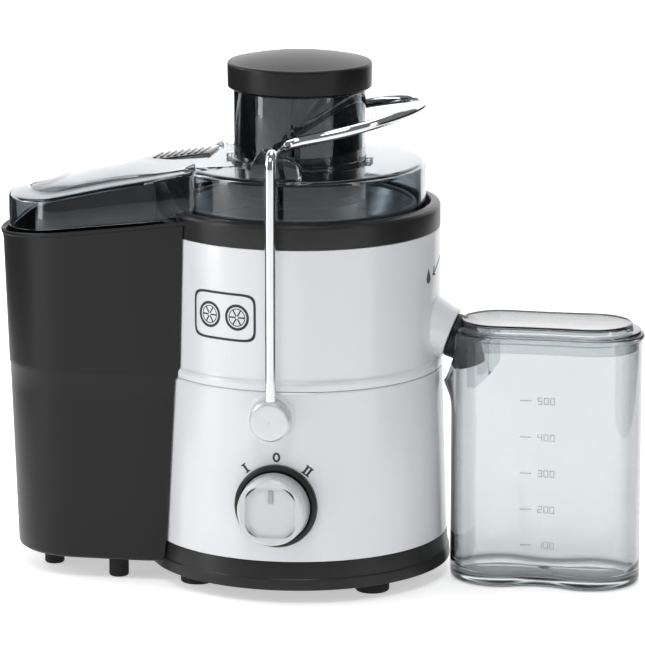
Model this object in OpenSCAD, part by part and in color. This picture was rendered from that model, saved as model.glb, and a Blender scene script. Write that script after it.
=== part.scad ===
// Centrifugal juicer: motor base, spinning filter basket, clear lid with feed
// chute, locking arm, pulp bin and juice jug. Millimetres, +Z up. The origin
// is on the motor axis at table level; -Y is the front, -X the pulp bin side.

/* [Base and housing] */
// Outer radius of the base ring at its bottom edge
base_r = 85.8; // [75:0.2:110]
// Outer radius where the base ring meets the housing
house_r = 83.9; // [74:0.1:108]
// Outer radius of the lower housing at the seam
seam_r = 81.1; // [72:0.1:105]
// Outer radius of the upper housing under the collar
upper_r = 79.5; // [72:0.1:104]
// Height of the rubber feet
foot_h = 8; // [5:0.5:14]
// Radius of each rubber foot
foot_r = 9.6; // [6:0.2:14]
// Half distance between the feet, side to side
foot_x = 50.3; // [36:0.1:58]
// Half distance between the feet, front to back
foot_y = 45; // [34:0.5:54]
// Height of the top edge of the base ring
base_top = 24; // [18:0.5:34]
// Height of the seam between the two housings
seam_z = 120; // [118:1:136]
// Height of the underside of the top collar
collar_z = 199.6; // [190:0.2:230]
// Height of the top collar
collar_h = 14; // [10:0.5:20]
// Wall of the moulded housings
wall = 2.6; // [1.6:0.1:4]

/* [Lid and chute] */
// Outer radius of the round part of the lid
lid_r = 71.2; // [68:0.2:76]
// Height of the lid above the collar
lid_rise = 23; // [16:0.5:36]
// Wall of the lid and the chute
lid_wall = 2.4; // [1.6:0.1:4]
// Outer radius of the feed chute
chute_r = 37.1; // [28:0.1:42]
// Height of the feed chute above the lid
chute_h = 41; // [30:0.5:80]
// Radius of the pusher cap
cap_r = 40.7; // [34:0.1:44]
// Height of the pusher cap's rim
cap_h = 14; // [8:0.5:24]
// Height of the dome on the pusher cap
dome_h = 6.6; // [2:0.2:12]

/* [Locking arm] */
// Diameter of the bent bar
bar_d = 6; // [4:0.2:8]
// Height of the pivot
pivot_z = 106.5; // [96:0.5:112]
// Distance from the centre plane to each leg
arm_y = 89.2; // [88:0.1:100]
// Height of the bar where it crosses the lid
bar_z = 254; // [244:0.5:300]
// Radius of the loop around the chute
loop_r = 55.5; // [50:0.5:64]
// Upward slant of the loop, degrees
loop_slant = 13; // [0:0.5:18]
// Radius of the pivot caps
pivot_r = 10.7; // [8:0.1:14]

/* [Dial] */
// Height of the dial's centre
dial_z = 56; // [50:0.5:70]
// Sideways offset of the dial
dial_x = 3; // [-6:0.5:6]
// Radius of the dark bezel
bezel_r = 23.8; // [18:0.1:26]
// Radius of the knob
knob_r = 20; // [14:0.1:22]
// Depth of the knob in front of the bezel
knob_h = 13.5; // [8:0.5:20]

/* [Juice outlet] */
// Height where the outlet leaves the housing
spout_z = 142.4; // [136:0.2:160]
// Downward tilt of the outlet, degrees
spout_tilt = 20; // [10:1:30]
// Bore radius of the outlet
spout_bore = 8; // [5:0.2:9]

/* [Pulp bin] */
// Length of the bin from the motor axis to its far end
bin_reach = 168; // [150:1:210]
// Half width of the bin
bin_half = 62; // [50:1:72]
// Height of the bin's underside
bin_foot = 14; // [8:1:24]
// Height of the bin's rim at the housing
bin_rim = 210; // [196:1:212]
// Draft of the bin's sides from rim to floor
bin_draft = 7; // [2:0.5:10]
// Wall of the bin
bin_wall = 2.4; // [1.6:0.1:4]

/* [Juice jug] */
// Nearest point of the jug to the motor axis
jug_near = 87.5; // [87.5:0.5:120]
// Distance between the centres of the two lobes
jug_span = 51; // [44:1:60]
// Radius of each lobe
jug_r = 28.5; // [24:0.5:34]
// Half width of the jug's waist
jug_waist = 23; // [18:0.5:24]
// Height of the jug's rim
jug_h = 144; // [130:1:170]
// Wall of the jug
jug_wall = 2.2; // [1.6:0.1:3.5]

/* [Spinning parts] */
// Radius of the motor shaft
shaft_r = 4; // [3:0.1:5]
// Radius of the basket at its floor
basket_low_r = 48; // [40:0.5:52]
// Radius of the basket at its rim
basket_top_r = 64; // [56:0.5:65]
// Depth of the basket
basket_h = 42; // [34:0.5:44]
// Radius of the rotor
rotor_r = 20.5; // [16:0.1:24]
// Number of rows of teeth on the grater disc
tooth_rows = 12; // [6:1:18]

/* [Clearances] */
// Running fit between a shaft and its bore
run_fit = 0.05; // [0.03:0.01:0.1]
// Gap between pieces that lie against each other
seat_gap = 0.1; // [0.05:0.01:0.3]
// Gap between pieces that slide past each other
slide_gap = 0.6; // [0.3:0.05:1]

/* [Hidden] */
$fn = 96;
bar_r = bar_d / 2;
collar_top = collar_z + collar_h;
lid_top = collar_top + lid_rise;
lid_skirt = 6;
lid_low = collar_top - lid_skirt;
lid_in = lid_r - lid_wall;
collar_in = lid_r + slide_gap;
house_low = base_top + seat_gap;
bead_h = 6;
plate_z = foot_h + 0.6;
plate_t = 3;
ledge_r = seam_r - 11;
plate_r = base_r - wall - slide_gap;
foot_bore_r = 3;
foot_bore_deep = 4.5;
seat_len = 5;
cap_in = arm_y - 4.2;
cap_out = arm_y + 4.3;
pin_r = 4;
pin_in = seam_r - wall - 4;
clip_r = 7;
clip_t = 1.6;
elbow_r = 8;
turn_r = 12;
turn_y = loop_r + turn_r;
loop_x = turn_r + 3;
spindle_r = 3;
bezel_t = 3;
dial_y = house_r - 0.8;
knob_back = dial_y + bezel_t + slide_gap;
switch_y = house_r - wall - 6;
spout_x = upper_r;
stub_r = 15.5;
stub_len = 9;
sleeve_r = 12.6;
sleeve_len = 13;
tip_r = spout_bore + 1.2;
tip_len = 15;
tip_tilt = 72;
bin_gap = 1.2;
bin_keep = upper_r + bin_gap;
bin_shoulder = 85;
bin_round = 48;
rim_slope = 6.6;
cover_slope = 12.7;
cover_flat = 52;
cover_gap = 3.4;
cover_pinch = 6.5;
cover_floor = collar_top + seat_gap * 6 + 2;
bin_narrow = 3.5;
cover_play = 1.2;
low_wall_z = bin_rim + slide_gap - (bin_reach - cover_gap - cover_flat) * tan(rim_slope) - 0.8;
post_r = 5.6;
jug_c1 = jug_near + jug_r;
jug_c2 = jug_c1 + jug_span;
jug_mid = jug_span / 2;
waist_r = (jug_mid * jug_mid + jug_waist * jug_waist - jug_r * jug_r) / (2 * (jug_r - jug_waist));
waist_y = jug_waist + waist_r;
mouth_half = 16;
mouth_z = 112;
beak_len = 3.4;
rim_bead = 1.2;
lid_inset = 4.8;
jug_lid_t = 5.6;
lip_t = 2;
pocket_x = 112.5;
pocket_half = 18;
plate_w = 1.4;
pocket_top = jug_h + jug_lid_t - lip_t - seat_gap;
bowl_r = upper_r - 2 * wall - 1.2;
bowl_z = 146;
hub_r = 13;
hub_top = 166;
basket_z = 170;
basket_t = 1;
rim_h = 4;
coupling_r = 11;
shaft_low = 40;
shaft_top = 180;
core_z = 66;
core_h = 32;
stator_x = 40;
stator_y = 28;
bolt_x = 34;
bolt_y = 22;
bolt_r = 2;
deck_z = seam_z + 4;
deck_t = 3;
bracket_t = 3;
low_bracket_z = 47;
top_bracket_z = 113;
bearing_r = 8;
bearing_h = 6;

// A ring that may taper, from radius r0 at height z0 to r1 at z1.
module taper_ring(z0, z1, r0, r1, t) {
    rotate_extrude() polygon([[r0 - t, z0], [r0, z0], [r1, z1], [r1 - t, z1]]);
}

// A straight ring standing on height z.
module tube(z, h, ro, ri) {
    translate([0, 0, z]) rotate_extrude() translate([ri, 0]) square([ro - ri, h]);
}

// A rod along Y from y0 to y1.
module rod_y(y0, y1, r) {
    translate([0, y1, 0]) rotate([90, 0, 0]) cylinder(r = r, h = y1 - y0);
}

// A child repeated at the four corners of a rectangle.
module corners(x, y) {
    for (sx = [-1, 1], sy = [-1, 1]) translate([sx * x, sy * y, 0]) children();
}

// The solid outline of the lower housing, used to trim what sits on it.
module housing_body(extra = 0) {
    rotate_extrude() polygon([
        [0, base_top], [house_r + extra, base_top], [seam_r + extra, seam_z], [0, seam_z]
    ]);
}

// The axis of the juice outlet, running along local +Z from the housing.
module on_spout() {
    translate([spout_x, 0, spout_z]) rotate([0, 90 + spout_tilt, 0]) children();
}

module base_ring() {
    color("dimgray") taper_ring(foot_h, base_top, base_r, house_r, wall);
}

module bottom_plate() {
    color("#2b2b2c") difference() {
        translate([0, 0, plate_z]) cylinder(r = plate_r, h = plate_t);
        for (i = [-4 : 4]) translate([i * 8, -16, plate_z - 1]) cube([4, 32, plate_t + 2]);
        corners(foot_x, foot_y) translate([0, 0, plate_z - 1]) cylinder(r = bolt_r + run_fit, h = plate_t + 2);
        for (a = [0, 180]) rotate([0, 0, a]) {
            translate([plate_r - 9, 0, plate_z - 1]) cylinder(r = bolt_r + run_fit, h = plate_t + 2);
        }
    }
}

module rubber_feet() {
    color("#161616") corners(foot_x, foot_y) difference() {
        union() {
            cylinder(r = foot_r, h = foot_h);
            cylinder(r = bolt_r, h = plate_z + plate_t);
        }
        translate([0, 0, -1]) cylinder(r = foot_bore_r, h = foot_bore_deep + 1);
    }
}

module bottom_screws() {
    color("silver") for (a = [0, 180]) rotate([0, 0, a]) translate([plate_r - 9, 0, 0]) {
        translate([0, 0, plate_z - 2.2]) cylinder(r = bolt_r * 1.9, h = 2.1);
        translate([0, 0, plate_z - 1]) cylinder(r = bolt_r, h = plate_t + 9);
    }
}

module lower_housing() {
    color("gainsboro") difference() {
        taper_ring(house_low, seam_z - seat_gap, house_r, seam_r, wall);
        translate([dial_x, 0, dial_z]) rod_y(-house_r - 1, 0, spindle_r + 1);
        translate([0, 0, pivot_z]) rod_y(-house_r - 1, house_r + 1, pin_r + run_fit);
        translate([0, 0, base_top + 12]) rod_y(0, house_r + 1, 5.5 + seat_gap);
    }
}

module upper_housing() {
    color("gainsboro") difference() {
        union() {
            rotate_extrude() polygon([
                [ledge_r, seam_z], [seam_r - 0.2, seam_z], [seam_r - 0.6, seam_z + bead_h / 2],
                [upper_r + 0.4, seam_z + bead_h], [upper_r, collar_z - seat_gap],
                [upper_r - wall, collar_z - seat_gap], [upper_r - wall, deck_z - seat_gap],
                [ledge_r, deck_z - seat_gap]
            ]);
            on_spout() translate([0, 0, -6]) cylinder(r1 = stub_r + 1.5, r2 = stub_r - 1, h = stub_len + 6);
        }
        translate([0, 0, deck_z - seat_gap]) cylinder(r = upper_r - wall, h = collar_z - deck_z);
        on_spout() translate([0, 0, -20]) cylinder(r = spout_bore + 2.2, h = stub_len + 30);
    }
}

module top_collar() {
    bevel = 2;
    color("#333334") rotate_extrude() polygon([
        [lid_in - 1, collar_z], [upper_r, collar_z], [upper_r, collar_top - bevel],
        [upper_r - bevel * 1.4, collar_top], [collar_in, collar_top],
        [collar_in, lid_low - seat_gap], [lid_in - 1, lid_low - seat_gap]
    ]);
}

module juice_bowl() {
    color("whitesmoke") difference() {
        union() {
            tube(bowl_z, collar_z - seat_gap - bowl_z, bowl_r, bowl_r - 2);
            translate([0, 0, bowl_z]) cylinder(r = bowl_r, h = 2.4);
            tube(collar_z - seat_gap - 2, 2, upper_r - wall - seat_gap, bowl_r - 1);
            tube(bowl_z, hub_top - bowl_z, hub_r, hub_r - 3);
            on_spout() translate([0, 0, -9]) cylinder(r = spout_bore + 2, h = stub_len + 9 - seat_gap);
        }
        translate([0, 0, bowl_z - 1]) cylinder(r = hub_r - 3, h = 30);
        translate([0, 0, bowl_z + 2.4]) tube(0, 40, bowl_r - 2, hub_r);
        on_spout() translate([0, 0, -30]) cylinder(r = spout_bore, h = stub_len + 40);
    }
}

module shaft_seal() {
    color("#202020") tube(hub_top - 5, 5, hub_r - 3 - run_fit, shaft_r + run_fit);
}

module pivot_seat() {
    color("gainsboro") difference() {
        translate([0, 0, pivot_z]) rod_y(-cap_in + 0.4, -seam_r + seat_len, pivot_r + 1.6);
        housing_body(seat_gap);
        translate([0, 0, pivot_z]) rod_y(-base_r - 9, 0, pin_r + run_fit);
        translate([-20, -seam_r - 20, seam_z - 1]) cube([40, 40, 20]);
    }
}

module front_pivot_seat() {
    pivot_seat();
}

module rear_pivot_seat() {
    rotate([0, 0, 180]) pivot_seat();
}

module dial_bezel() {
    color("#1b1b1c") translate([dial_x, 0, dial_z]) difference() {
        rod_y(-dial_y - bezel_t, -dial_y + 5, bezel_r);
        rod_y(-dial_y - bezel_t - 1, -dial_y + 6, spindle_r + 1);
        translate([-dial_x, 0, -dial_z]) housing_body(seat_gap);
    }
}

module speed_switch() {
    color("#d8d5c8") difference() {
        translate([dial_x - 13, -switch_y, dial_z - 13]) cube([26, 16, 26]);
        translate([dial_x, 0, dial_z]) rod_y(-switch_y - 1, -switch_y + 12, spindle_r + run_fit);
    }
}

module lid_switch() {
    color("#262626") translate([-10, -seam_r + wall + 0.8, pivot_z - 24]) {
        cube([20, 7, 11]);
        translate([8, 6.5, 4]) cube([4, 2.5, 3]);
    }
}

module cord_gland() {
    gland_y = house_r - wall;
    color("#181818") translate([0, 0, base_top + 12]) difference() {
        union() {
            rod_y(gland_y - 8, gland_y + 9, 5.5);
            rod_y(gland_y - 3.8, gland_y - 1.6, 8);
            rod_y(gland_y + 3.6, gland_y + 5.6, 8);
        }
        rod_y(gland_y - 9, gland_y + 10, 3.4);
    }
}

module terminal_block() {
    color("#e6e2d6") translate([-16, 52, plate_z + plate_t]) difference() {
        cube([32, 14, 16]);
        for (i = [0 : 2]) translate([7 + i * 9, 0, 8]) rod_y(-1, 15, 2);
    }
}

module motor_deck() {
    color("#c9cbcd") difference() {
        translate([0, 0, deck_z]) cylinder(r = upper_r - wall - seat_gap * 3, h = deck_t);
        translate([0, 0, deck_z - 1]) cylinder(r = hub_r, h = deck_t + 2);
        corners(bolt_x, bolt_y) translate([0, 0, deck_z - 1]) cylinder(r = bolt_r + run_fit, h = deck_t + 2);
    }
}

module motor_stator() {
    color("#7d7f83") difference() {
        translate([-stator_x, -stator_y, core_z]) cube([2 * stator_x, 2 * stator_y, core_h]);
        translate([0, 0, core_z - 1]) cylinder(r = rotor_r + slide_gap, h = core_h + 2);
        corners(bolt_x, bolt_y) translate([0, 0, core_z - 1]) cylinder(r = bolt_r + run_fit, h = core_h + 2);
    }
}

module field_coils() {
    color("#b4622d") for (z = [core_z - 6 - seat_gap, core_z + core_h + seat_gap]) {
        tube(z, 6, rotor_r + 11, rotor_r + 2);
    }
}

// A plate with a bearing seat in the middle and four screw holes.
module bracket(z) {
    difference() {
        translate([-stator_x, -stator_y, z]) cube([2 * stator_x, 2 * stator_y, bracket_t]);
        translate([0, 0, z - 1]) cylinder(r = bearing_r + run_fit, h = bracket_t + 2);
        corners(bolt_x, bolt_y) translate([0, 0, z - 1]) cylinder(r = bolt_r + run_fit, h = bracket_t + 2);
        for (s = [-1, 1]) translate([s * 20, 0, z - 1]) cylinder(r = 6, h = bracket_t + 2);
    }
}

module upper_bracket() {
    color("#a9acb0") bracket(top_bracket_z);
}

module lower_bracket() {
    color("#a9acb0") bracket(low_bracket_z);
}

module upper_bearing() {
    color("silver") tube(top_bracket_z - 1, bearing_h, bearing_r, shaft_r + run_fit);
}

module lower_bearing() {
    color("silver") tube(low_bracket_z - 1, bearing_h, bearing_r, shaft_r + run_fit);
}

module motor_screws() {
    color("silver") corners(bolt_x, bolt_y) {
        translate([0, 0, low_bracket_z - 3]) cylinder(r = bolt_r * 1.8, h = 3 - seat_gap);
        translate([0, 0, low_bracket_z - 1]) cylinder(r = bolt_r, h = deck_z + deck_t + 4 - low_bracket_z);
    }
}

module motor_dampers() {
    low = top_bracket_z + bracket_t + seat_gap;
    color("#1c1c1c") corners(bolt_x, bolt_y) tube(low, deck_z - seat_gap - low, 5.5, bolt_r + run_fit);
}

module brush_holders() {
    color("#b08d3c") for (a = [0, 180]) rotate([0, 0, a]) {
        translate([11 + slide_gap, -4, 55]) cube([16, 8, 4]);
    }
}

// The point where the nozzle turns down, with local +Z along its tip.
module at_knee() {
    on_spout() translate([0, 0, stub_len + sleeve_len - 5]) rotate([0, tip_tilt - spout_tilt, 0]) children();
}

module juice_nozzle() {
    color("#1a1a1b") difference() {
        union() {
            on_spout() translate([0, 0, stub_len + seat_gap]) cylinder(r = sleeve_r, h = sleeve_len);
            at_knee() cylinder(r = tip_r, h = tip_len);
        }
        on_spout() translate([0, 0, stub_len - 1]) cylinder(r = spout_bore, h = sleeve_len);
        at_knee() cylinder(r = spout_bore - 0.4, h = tip_len + 1);
    }
}

module motor_shaft() {
    color("silver") translate([0, 0, shaft_low]) cylinder(r = shaft_r, h = shaft_top - shaft_low);
}

module rotor_core() {
    color("#8a6a4c") difference() {
        translate([0, 0, core_z]) cylinder(r = rotor_r, h = core_h);
        translate([0, 0, core_z - 1]) cylinder(r = shaft_r, h = core_h + 2);
        for (a = [0 : 30 : 330]) rotate([0, 0, a]) {
            translate([rotor_r - 3, -0.8, core_z - 1]) cube([4, 1.6, core_h + 2]);
        }
    }
}

module commutator() {
    color("#c07a3e") tube(54, 9, 11, shaft_r);
}

module cooling_fan() {
    fan_z = core_z + core_h + 7;
    color("#ececec") {
        tube(fan_z, 6.5, 9, shaft_r);
        tube(fan_z, 1.4, 28, 8);
        for (a = [0 : 36 : 324]) rotate([0, 0, a]) translate([8, -0.7, fan_z]) cube([19, 1.4, 6.5]);
    }
}

module drive_coupling() {
    color("#2a2a2a") difference() {
        union() {
            translate([0, 0, hub_top + 1.5]) cylinder(r = coupling_r - 2, h = 15);
            for (a = [0 : 60 : 300]) rotate([0, 0, a]) {
                translate([coupling_r - 3, -1.6, basket_z + 1]) cube([2.8, 3.2, 9]);
            }
        }
        translate([0, 0, hub_top]) cylinder(r = shaft_r, h = shaft_top - hub_top);
    }
}

module filter_basket() {
    top = basket_z + basket_h;
    color("silver") union() {
        taper_ring(basket_z, top, basket_low_r, basket_top_r, basket_t);
        tube(basket_z, 1.2, basket_low_r, coupling_r + seat_gap);
        tube(basket_z, 13, coupling_r + 3, coupling_r + seat_gap);
    }
}

module basket_rim() {
    top = basket_z + basket_h;
    color("silver") tube(top - 2, rim_h, basket_top_r + 2, basket_top_r + seat_gap);
}

module grater_disc() {
    disc_z = basket_z + 1.2 + seat_gap;
    disc_r = basket_low_r - basket_t - seat_gap;
    color("#c8cacc") {
        tube(disc_z, 1, disc_r, coupling_r + 3 + seat_gap);
        for (i = [0 : tooth_rows - 1], k = [0 : 4]) rotate([0, 0, i * 360 / tooth_rows + k * 5]) {
            translate([disc_r - 5 - 6 * k, 0, disc_z + 0.5]) cylinder(r1 = 1.2, r2 = 0.4, h = 2, $fn = 4);
        }
    }
}

module speed_knob() {
    pad = knob_r * 0.66;
    color("#d9dadb") translate([dial_x, 0, dial_z]) difference() {
        union() {
            rod_y(-knob_back - knob_h + 1, -knob_back, knob_r);
            rod_y(-knob_back - knob_h, -knob_back, knob_r - 1);
        }
        translate([0, -knob_back - knob_h, 0]) rotate([90, 0, 0]) translate([0, 0, -1]) linear_extrude(2) {
            intersection() {
                circle(r = pad * 1.16);
                square(2 * pad, center = true);
            }
        }
        translate([-1.2, -knob_back - knob_h - 1, pad - 8]) cube([2.4, 3, 7]);
        rod_y(-knob_back - 8, -knob_back + 1, spindle_r);
    }
}

module knob_spindle() {
    color("#b9bbbd") translate([dial_x, 0, dial_z]) rod_y(-knob_back - 8, -switch_y + 10, spindle_r);
}

// A quarter bend of the bar in the local XY plane, starting on local +X.
module quarter_bend(r) {
    rotate_extrude(angle = 90) translate([r, 0]) circle(r = bar_r, $fn = 48);
}

// The bent bar, from the front pivot over the lid and around the chute.
module locking_arm() {
    leg_low = pivot_z + pin_r + 1.5;
    color("silver") for (side = [0, 1]) mirror([0, side, 0]) {
        translate([0, arm_y, leg_low]) cylinder(r = bar_r, h = bar_z - elbow_r - leg_low);
        translate([0, arm_y - elbow_r, bar_z - elbow_r]) rotate([90, 0, 90]) quarter_bend(elbow_r);
        translate([0, 0, bar_z]) {
            rod_y(turn_y, arm_y - elbow_r, bar_r);
            translate([0, turn_y, 0]) sphere(r = bar_r + seat_gap / 2);
            rotate([0, -loop_slant, 0]) {
                translate([turn_r, turn_y, 0]) rotate([0, 0, 180]) quarter_bend(turn_r);
                translate([turn_r, loop_r, 0]) rotate([0, 90, 0]) cylinder(r = bar_r, h = loop_x - turn_r);
                translate([loop_x, 0, 0]) quarter_bend(loop_r);
            }
        }
    }
}

module pivot_cap() {
    bevel = 1.2;
    color("#c6c7ca") translate([0, 0, pivot_z]) difference() {
        union() {
            rod_y(-cap_out + bevel, -cap_in, pivot_r);
            rod_y(-cap_out, -cap_in, pivot_r - bevel);
        }
        rod_y(-arm_y, 0, pin_r);
        translate([0, -arm_y, pin_r + 1.5 - seat_gap]) cylinder(r = bar_r + run_fit, h = pivot_r);
    }
}

module front_pivot_cap() {
    pivot_cap();
}

module rear_pivot_cap() {
    rotate([0, 0, 180]) pivot_cap();
}

module pivot_pins() {
    color("silver") for (a = [0, 180]) rotate([0, 0, a]) translate([0, 0, pivot_z]) {
        rod_y(-arm_y + seat_gap, -pin_in, pin_r);
    }
}

module pin_clips() {
    color("#8d9094") for (a = [0, 180]) rotate([0, 0, a]) translate([0, 0, pivot_z]) difference() {
        rod_y(-pin_in - clip_t - 0.4, -pin_in - 0.4, clip_r);
        rod_y(-pin_in - 5, -pin_in + 5, pin_r);
    }
}

// The hollow side of the pulp bin, which follows the housing at a small gap.
module bin_hollow(extra) {
    gap = bin_gap + extra;
    rotate_extrude() polygon([
        [0, -1], [base_r + gap, -1], [base_r + gap, foot_h], [house_r + gap, base_top + 2],
        [seam_r + gap, seam_z], [seam_r + gap, seam_z + bead_h / 2], [upper_r + gap + 0.4, seam_z + bead_h],
        [upper_r + gap, collar_z], [upper_r + gap, bin_rim + 20], [0, bin_rim + 20]
    ]);
}

// The pulp bin's outline seen from above, drawn in by inset, narrower by pinch at the housing.
module bin_plan(inset, pinch = bin_narrow) {
    far = -bin_reach + inset;
    half = bin_half - inset;
    round_r = bin_round - inset;
    for (s = [-1, 1]) translate([far + round_r, s * (half - round_r)]) circle(r = round_r);
    translate([far, round_r - half]) square([round_r + 1, 2 * (half - round_r)]);
    polygon([
        [far + round_r, -half], [-bin_shoulder, -half], [-cover_flat, pinch - half],
        [-cover_flat, half - pinch], [-bin_shoulder, half], [far + round_r, half]
    ]);
}

// Everything under a plane that falls towards -X from height z at x = -cover_flat.
module below_slope(z, angle) {
    translate([-cover_flat, 0, z]) rotate([0, -angle, 0]) translate([-400, -200, -400]) cube([400, 400, 400]);
}

// The cover's outline seen from above, drawn in by inset, narrow enough for the bin to pass outside it.
module cover_plan(inset) {
    side = bin_half - bin_narrow - bin_wall - slide_gap + cover_gap - cover_play - inset;
    intersection() {
        bin_plan(inset, cover_pinch);
        translate([-bin_reach, -side]) square([bin_reach, 2 * side]);
    }
}

// The cover over the bin, drawn in by inset, between the rim and its own top.
module cover_block(inset, drop) {
    difference() {
        intersection() {
            linear_extrude(lid_top + 10) cover_plan(inset);
            below_slope(lid_top - drop, cover_slope);
        }
        below_slope(bin_rim + slide_gap, rim_slope);
    }
}

// The whole clear lid: the drum, its deck and the bin cover.
module lid_form() {
    window_half = 44;
    window_top = lid_top - 2 * lid_wall - (lid_r + 3 - cover_flat) * tan(cover_slope);
    intersection() {
        tube(cover_floor - 2, 2, bin_keep + 5, lid_in);
        linear_extrude(lid_top) cover_plan(cover_gap + 0.5);
    }
    difference() {
        union() {
            taper_ring(lid_low, lid_top - 3, lid_r, lid_r, lid_r - 1);
            translate([0, 0, lid_top - 3]) cylinder(r1 = lid_r, r2 = lid_r - 2.4, h = 3);
            cover_block(cover_gap, 0);
            translate([-cover_flat - 0.5, 0, collar_top + 0.6]) linear_extrude(lid_rise - 3.6) {
                half = bin_half - cover_gap - cover_pinch;
                translate([0, -half]) square([12, 2 * half]);
            }
        }
        translate([0, 0, lid_low - 1]) cylinder(r = lid_in, h = lid_top - lid_wall - lid_low + 1);
        cover_block(cover_gap + lid_wall, lid_wall);
        translate([-lid_r - 3, -window_half, cover_floor]) {
            cube([lid_r - 27, 2 * window_half, window_top - cover_floor]);
        }
        translate([0, 0, lid_top - lid_wall - 1]) cylinder(r = chute_r + seat_gap, h = 10);
        translate([0, 0, lid_low - 3]) tube(0, lid_skirt + 3.6, bin_keep + 8, lid_r);
    }
}

// Everything on the drum's side of the joint with the bin cover.
module drum_side(gap) {
    translate([gap - cover_flat, -lid_r - 1, lid_low - 1]) cube([2 * lid_r, 2 * lid_r + 2, lid_top]);
}

module lid_shell() {
    color("#9fb0b8") difference() {
        intersection() {
            lid_form();
            drum_side(seat_gap);
        }
        translate([0, 0, lid_top - lid_wall - 1]) cylinder(r = lid_in - 1, h = 10);
    }
}

module lid_deck() {
    color("#9fb0b8") intersection() {
        tube(lid_top - lid_wall, lid_wall, lid_in - 1 - seat_gap, chute_r + seat_gap);
        drum_side(seat_gap);
    }
}

module bin_cover() {
    color("#9fb0b8") difference() {
        lid_form();
        drum_side(0);
        translate([0, 0, lid_low - 1]) cylinder(r = lid_r + seat_gap, h = cover_floor - 2 - lid_low + 1);
    }
}

module feed_chute() {
    low = lid_top - 22;
    color("#8fa1aa") difference() {
        union() {
            tube(low, chute_h + 22, chute_r, chute_r - 2);
            tube(lid_top + seat_gap, 2.2, chute_r + 1.6, chute_r - 0.5);
            for (a = [0, 180]) rotate([0, 0, a]) {
                translate([chute_r - 0.5, -4, lid_top + seat_gap]) cube([4.5, 8, 2.2]);
            }
        }
        translate([0, 0, low]) cylinder(r = chute_r - 2, h = chute_h + 30);
    }
}

module latch_saddles() {
    low = lid_top + seat_gap;
    seat = bar_z - bar_r - 4.6 - low;
    color("#8fa1aa") for (s = [-1, 1]) translate([0, s * 62, low]) rotate([90, 0, 0]) {
        translate([0, 0, -5]) linear_extrude(10) {
            translate([-14, 0]) square([26, seat - 4]);
            translate([-10, 0]) square([18, seat]);
            translate([-10, seat - 4]) circle(r = 4);
            translate([8, seat - 4]) circle(r = 4);
            translate([-9, seat - 1]) square([4.5, 4]);
        }
    }
}

module pusher_cap() {
    low = lid_top + chute_h + slide_gap;
    dome_r = (cap_r * cap_r + dome_h * dome_h) / (2 * dome_h);
    color("#2c2c2d") {
        difference() {
            translate([0, 0, low]) cylinder(r1 = cap_r - 1, r2 = cap_r, h = cap_h);
            translate([0, 0, low - 1]) cylinder(r = chute_r - 2, h = cap_h - 2);
        }
        intersection() {
            translate([0, 0, low + cap_h + dome_h - dome_r]) sphere(r = dome_r);
            translate([0, 0, low + cap_h - 0.1]) cylinder(r = cap_r, h = dome_h + 1);
        }
    }
}

module pusher_tube() {
    top = lid_top + chute_h + slide_gap + cap_h - 3 - seat_gap;
    low = lid_top - 18;
    tube_r = chute_r - 2 - slide_gap * 2;
    color("#71797e") difference() {
        translate([0, 0, low]) cylinder(r = tube_r, h = top - low);
        translate([0, 0, low + 2.4]) cylinder(r = tube_r - 2, h = top - low);
    }
}

// The bin's tapered outer or inner form, drawn in by inset.
module bin_form(inset, floor_z) {
    hull() {
        translate([0, 0, floor_z]) linear_extrude(0.1) bin_plan(inset + bin_draft, $fn = 48);
        translate([0, 0, bin_rim + 4]) linear_extrude(0.1) bin_plan(inset, $fn = 48);
    }
}

module pulp_bin() {
    color("#1d1d1e") difference() {
        intersection() {
            bin_form(0, bin_foot);
            below_slope(bin_rim, rim_slope);
        }
        difference() {
            bin_form(bin_wall, bin_foot + bin_wall);
            bin_hollow(bin_wall);
        }
        bin_hollow(0);
        translate([-bin_shoulder - 5, -bin_half + bin_narrow + bin_wall + seat_gap, low_wall_z]) {
            cube([60, 2 * (bin_half - bin_narrow - bin_wall - seat_gap), 30]);
        }
    }
}

module bin_feet() {
    color("#141414") for (s = [-1, 1]) {
        translate([-97, s * 41, 0]) cylinder(r = post_r, h = bin_foot - seat_gap);
        translate([-140, s * 20, 0]) cylinder(r = post_r, h = bin_foot - seat_gap);
    }
}

// Points along an arc about [x, y] from angle a0 to a1 in n steps, without its last point.
function arc(x, y, r, a0, a1, n) = [
    for (i = [0 : n - 1]) let (a = a0 + (a1 - a0) * i / n) [x + r * cos(a), y + r * sin(a)]
];

// The jug's two-lobed outline seen from above, drawn in by inset.
module jug_plan(inset) {
    t = atan2(waist_y, jug_mid);
    lobe = jug_r - inset;
    waist = waist_r + inset;
    mid = jug_c1 + jug_mid;
    polygon(concat(
        arc(jug_c2, 0, lobe, t - 180, 180 - t, 32),
        arc(mid, waist_y, waist, 360 - t, 180 + t, 12),
        arc(jug_c1, 0, lobe, t, 360 - t, 32),
        arc(mid, -waist_y, waist, 180 - t, t, 12)
    ));
}

// The pouring beak's form, drawn in by inset.
module beak_form(inset) {
    hull() {
        translate([jug_near - beak_len + inset, 0, mouth_z - 3 + inset]) cylinder(r = 1.5, h = 6 + inset, $fn = 24);
        translate([jug_near + 4, inset - mouth_half + 2, mouth_z - 12 + inset]) cube([1, 2 * (mouth_half - 2 - inset), 22]);
    }
}

module juice_jug() {
    color("#a9b8b6") difference() {
        union() {
            linear_extrude(jug_h) jug_plan(0);
            translate([0, 0, jug_h - 2.6]) linear_extrude(2.6) jug_plan(-rim_bead);
            beak_form(0);
        }
        translate([0, 0, 3]) linear_extrude(jug_h) jug_plan(jug_wall);
        translate([0, 0, mouth_z]) translate([0, -mouth_half, 0]) cube([jug_c1 - 8, 2 * mouth_half, 60]);
        intersection() {
            beak_form(jug_wall);
            translate([0, -40, mouth_z - 20]) cube([jug_near + 6, 80, 60]);
        }
    }
}

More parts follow.
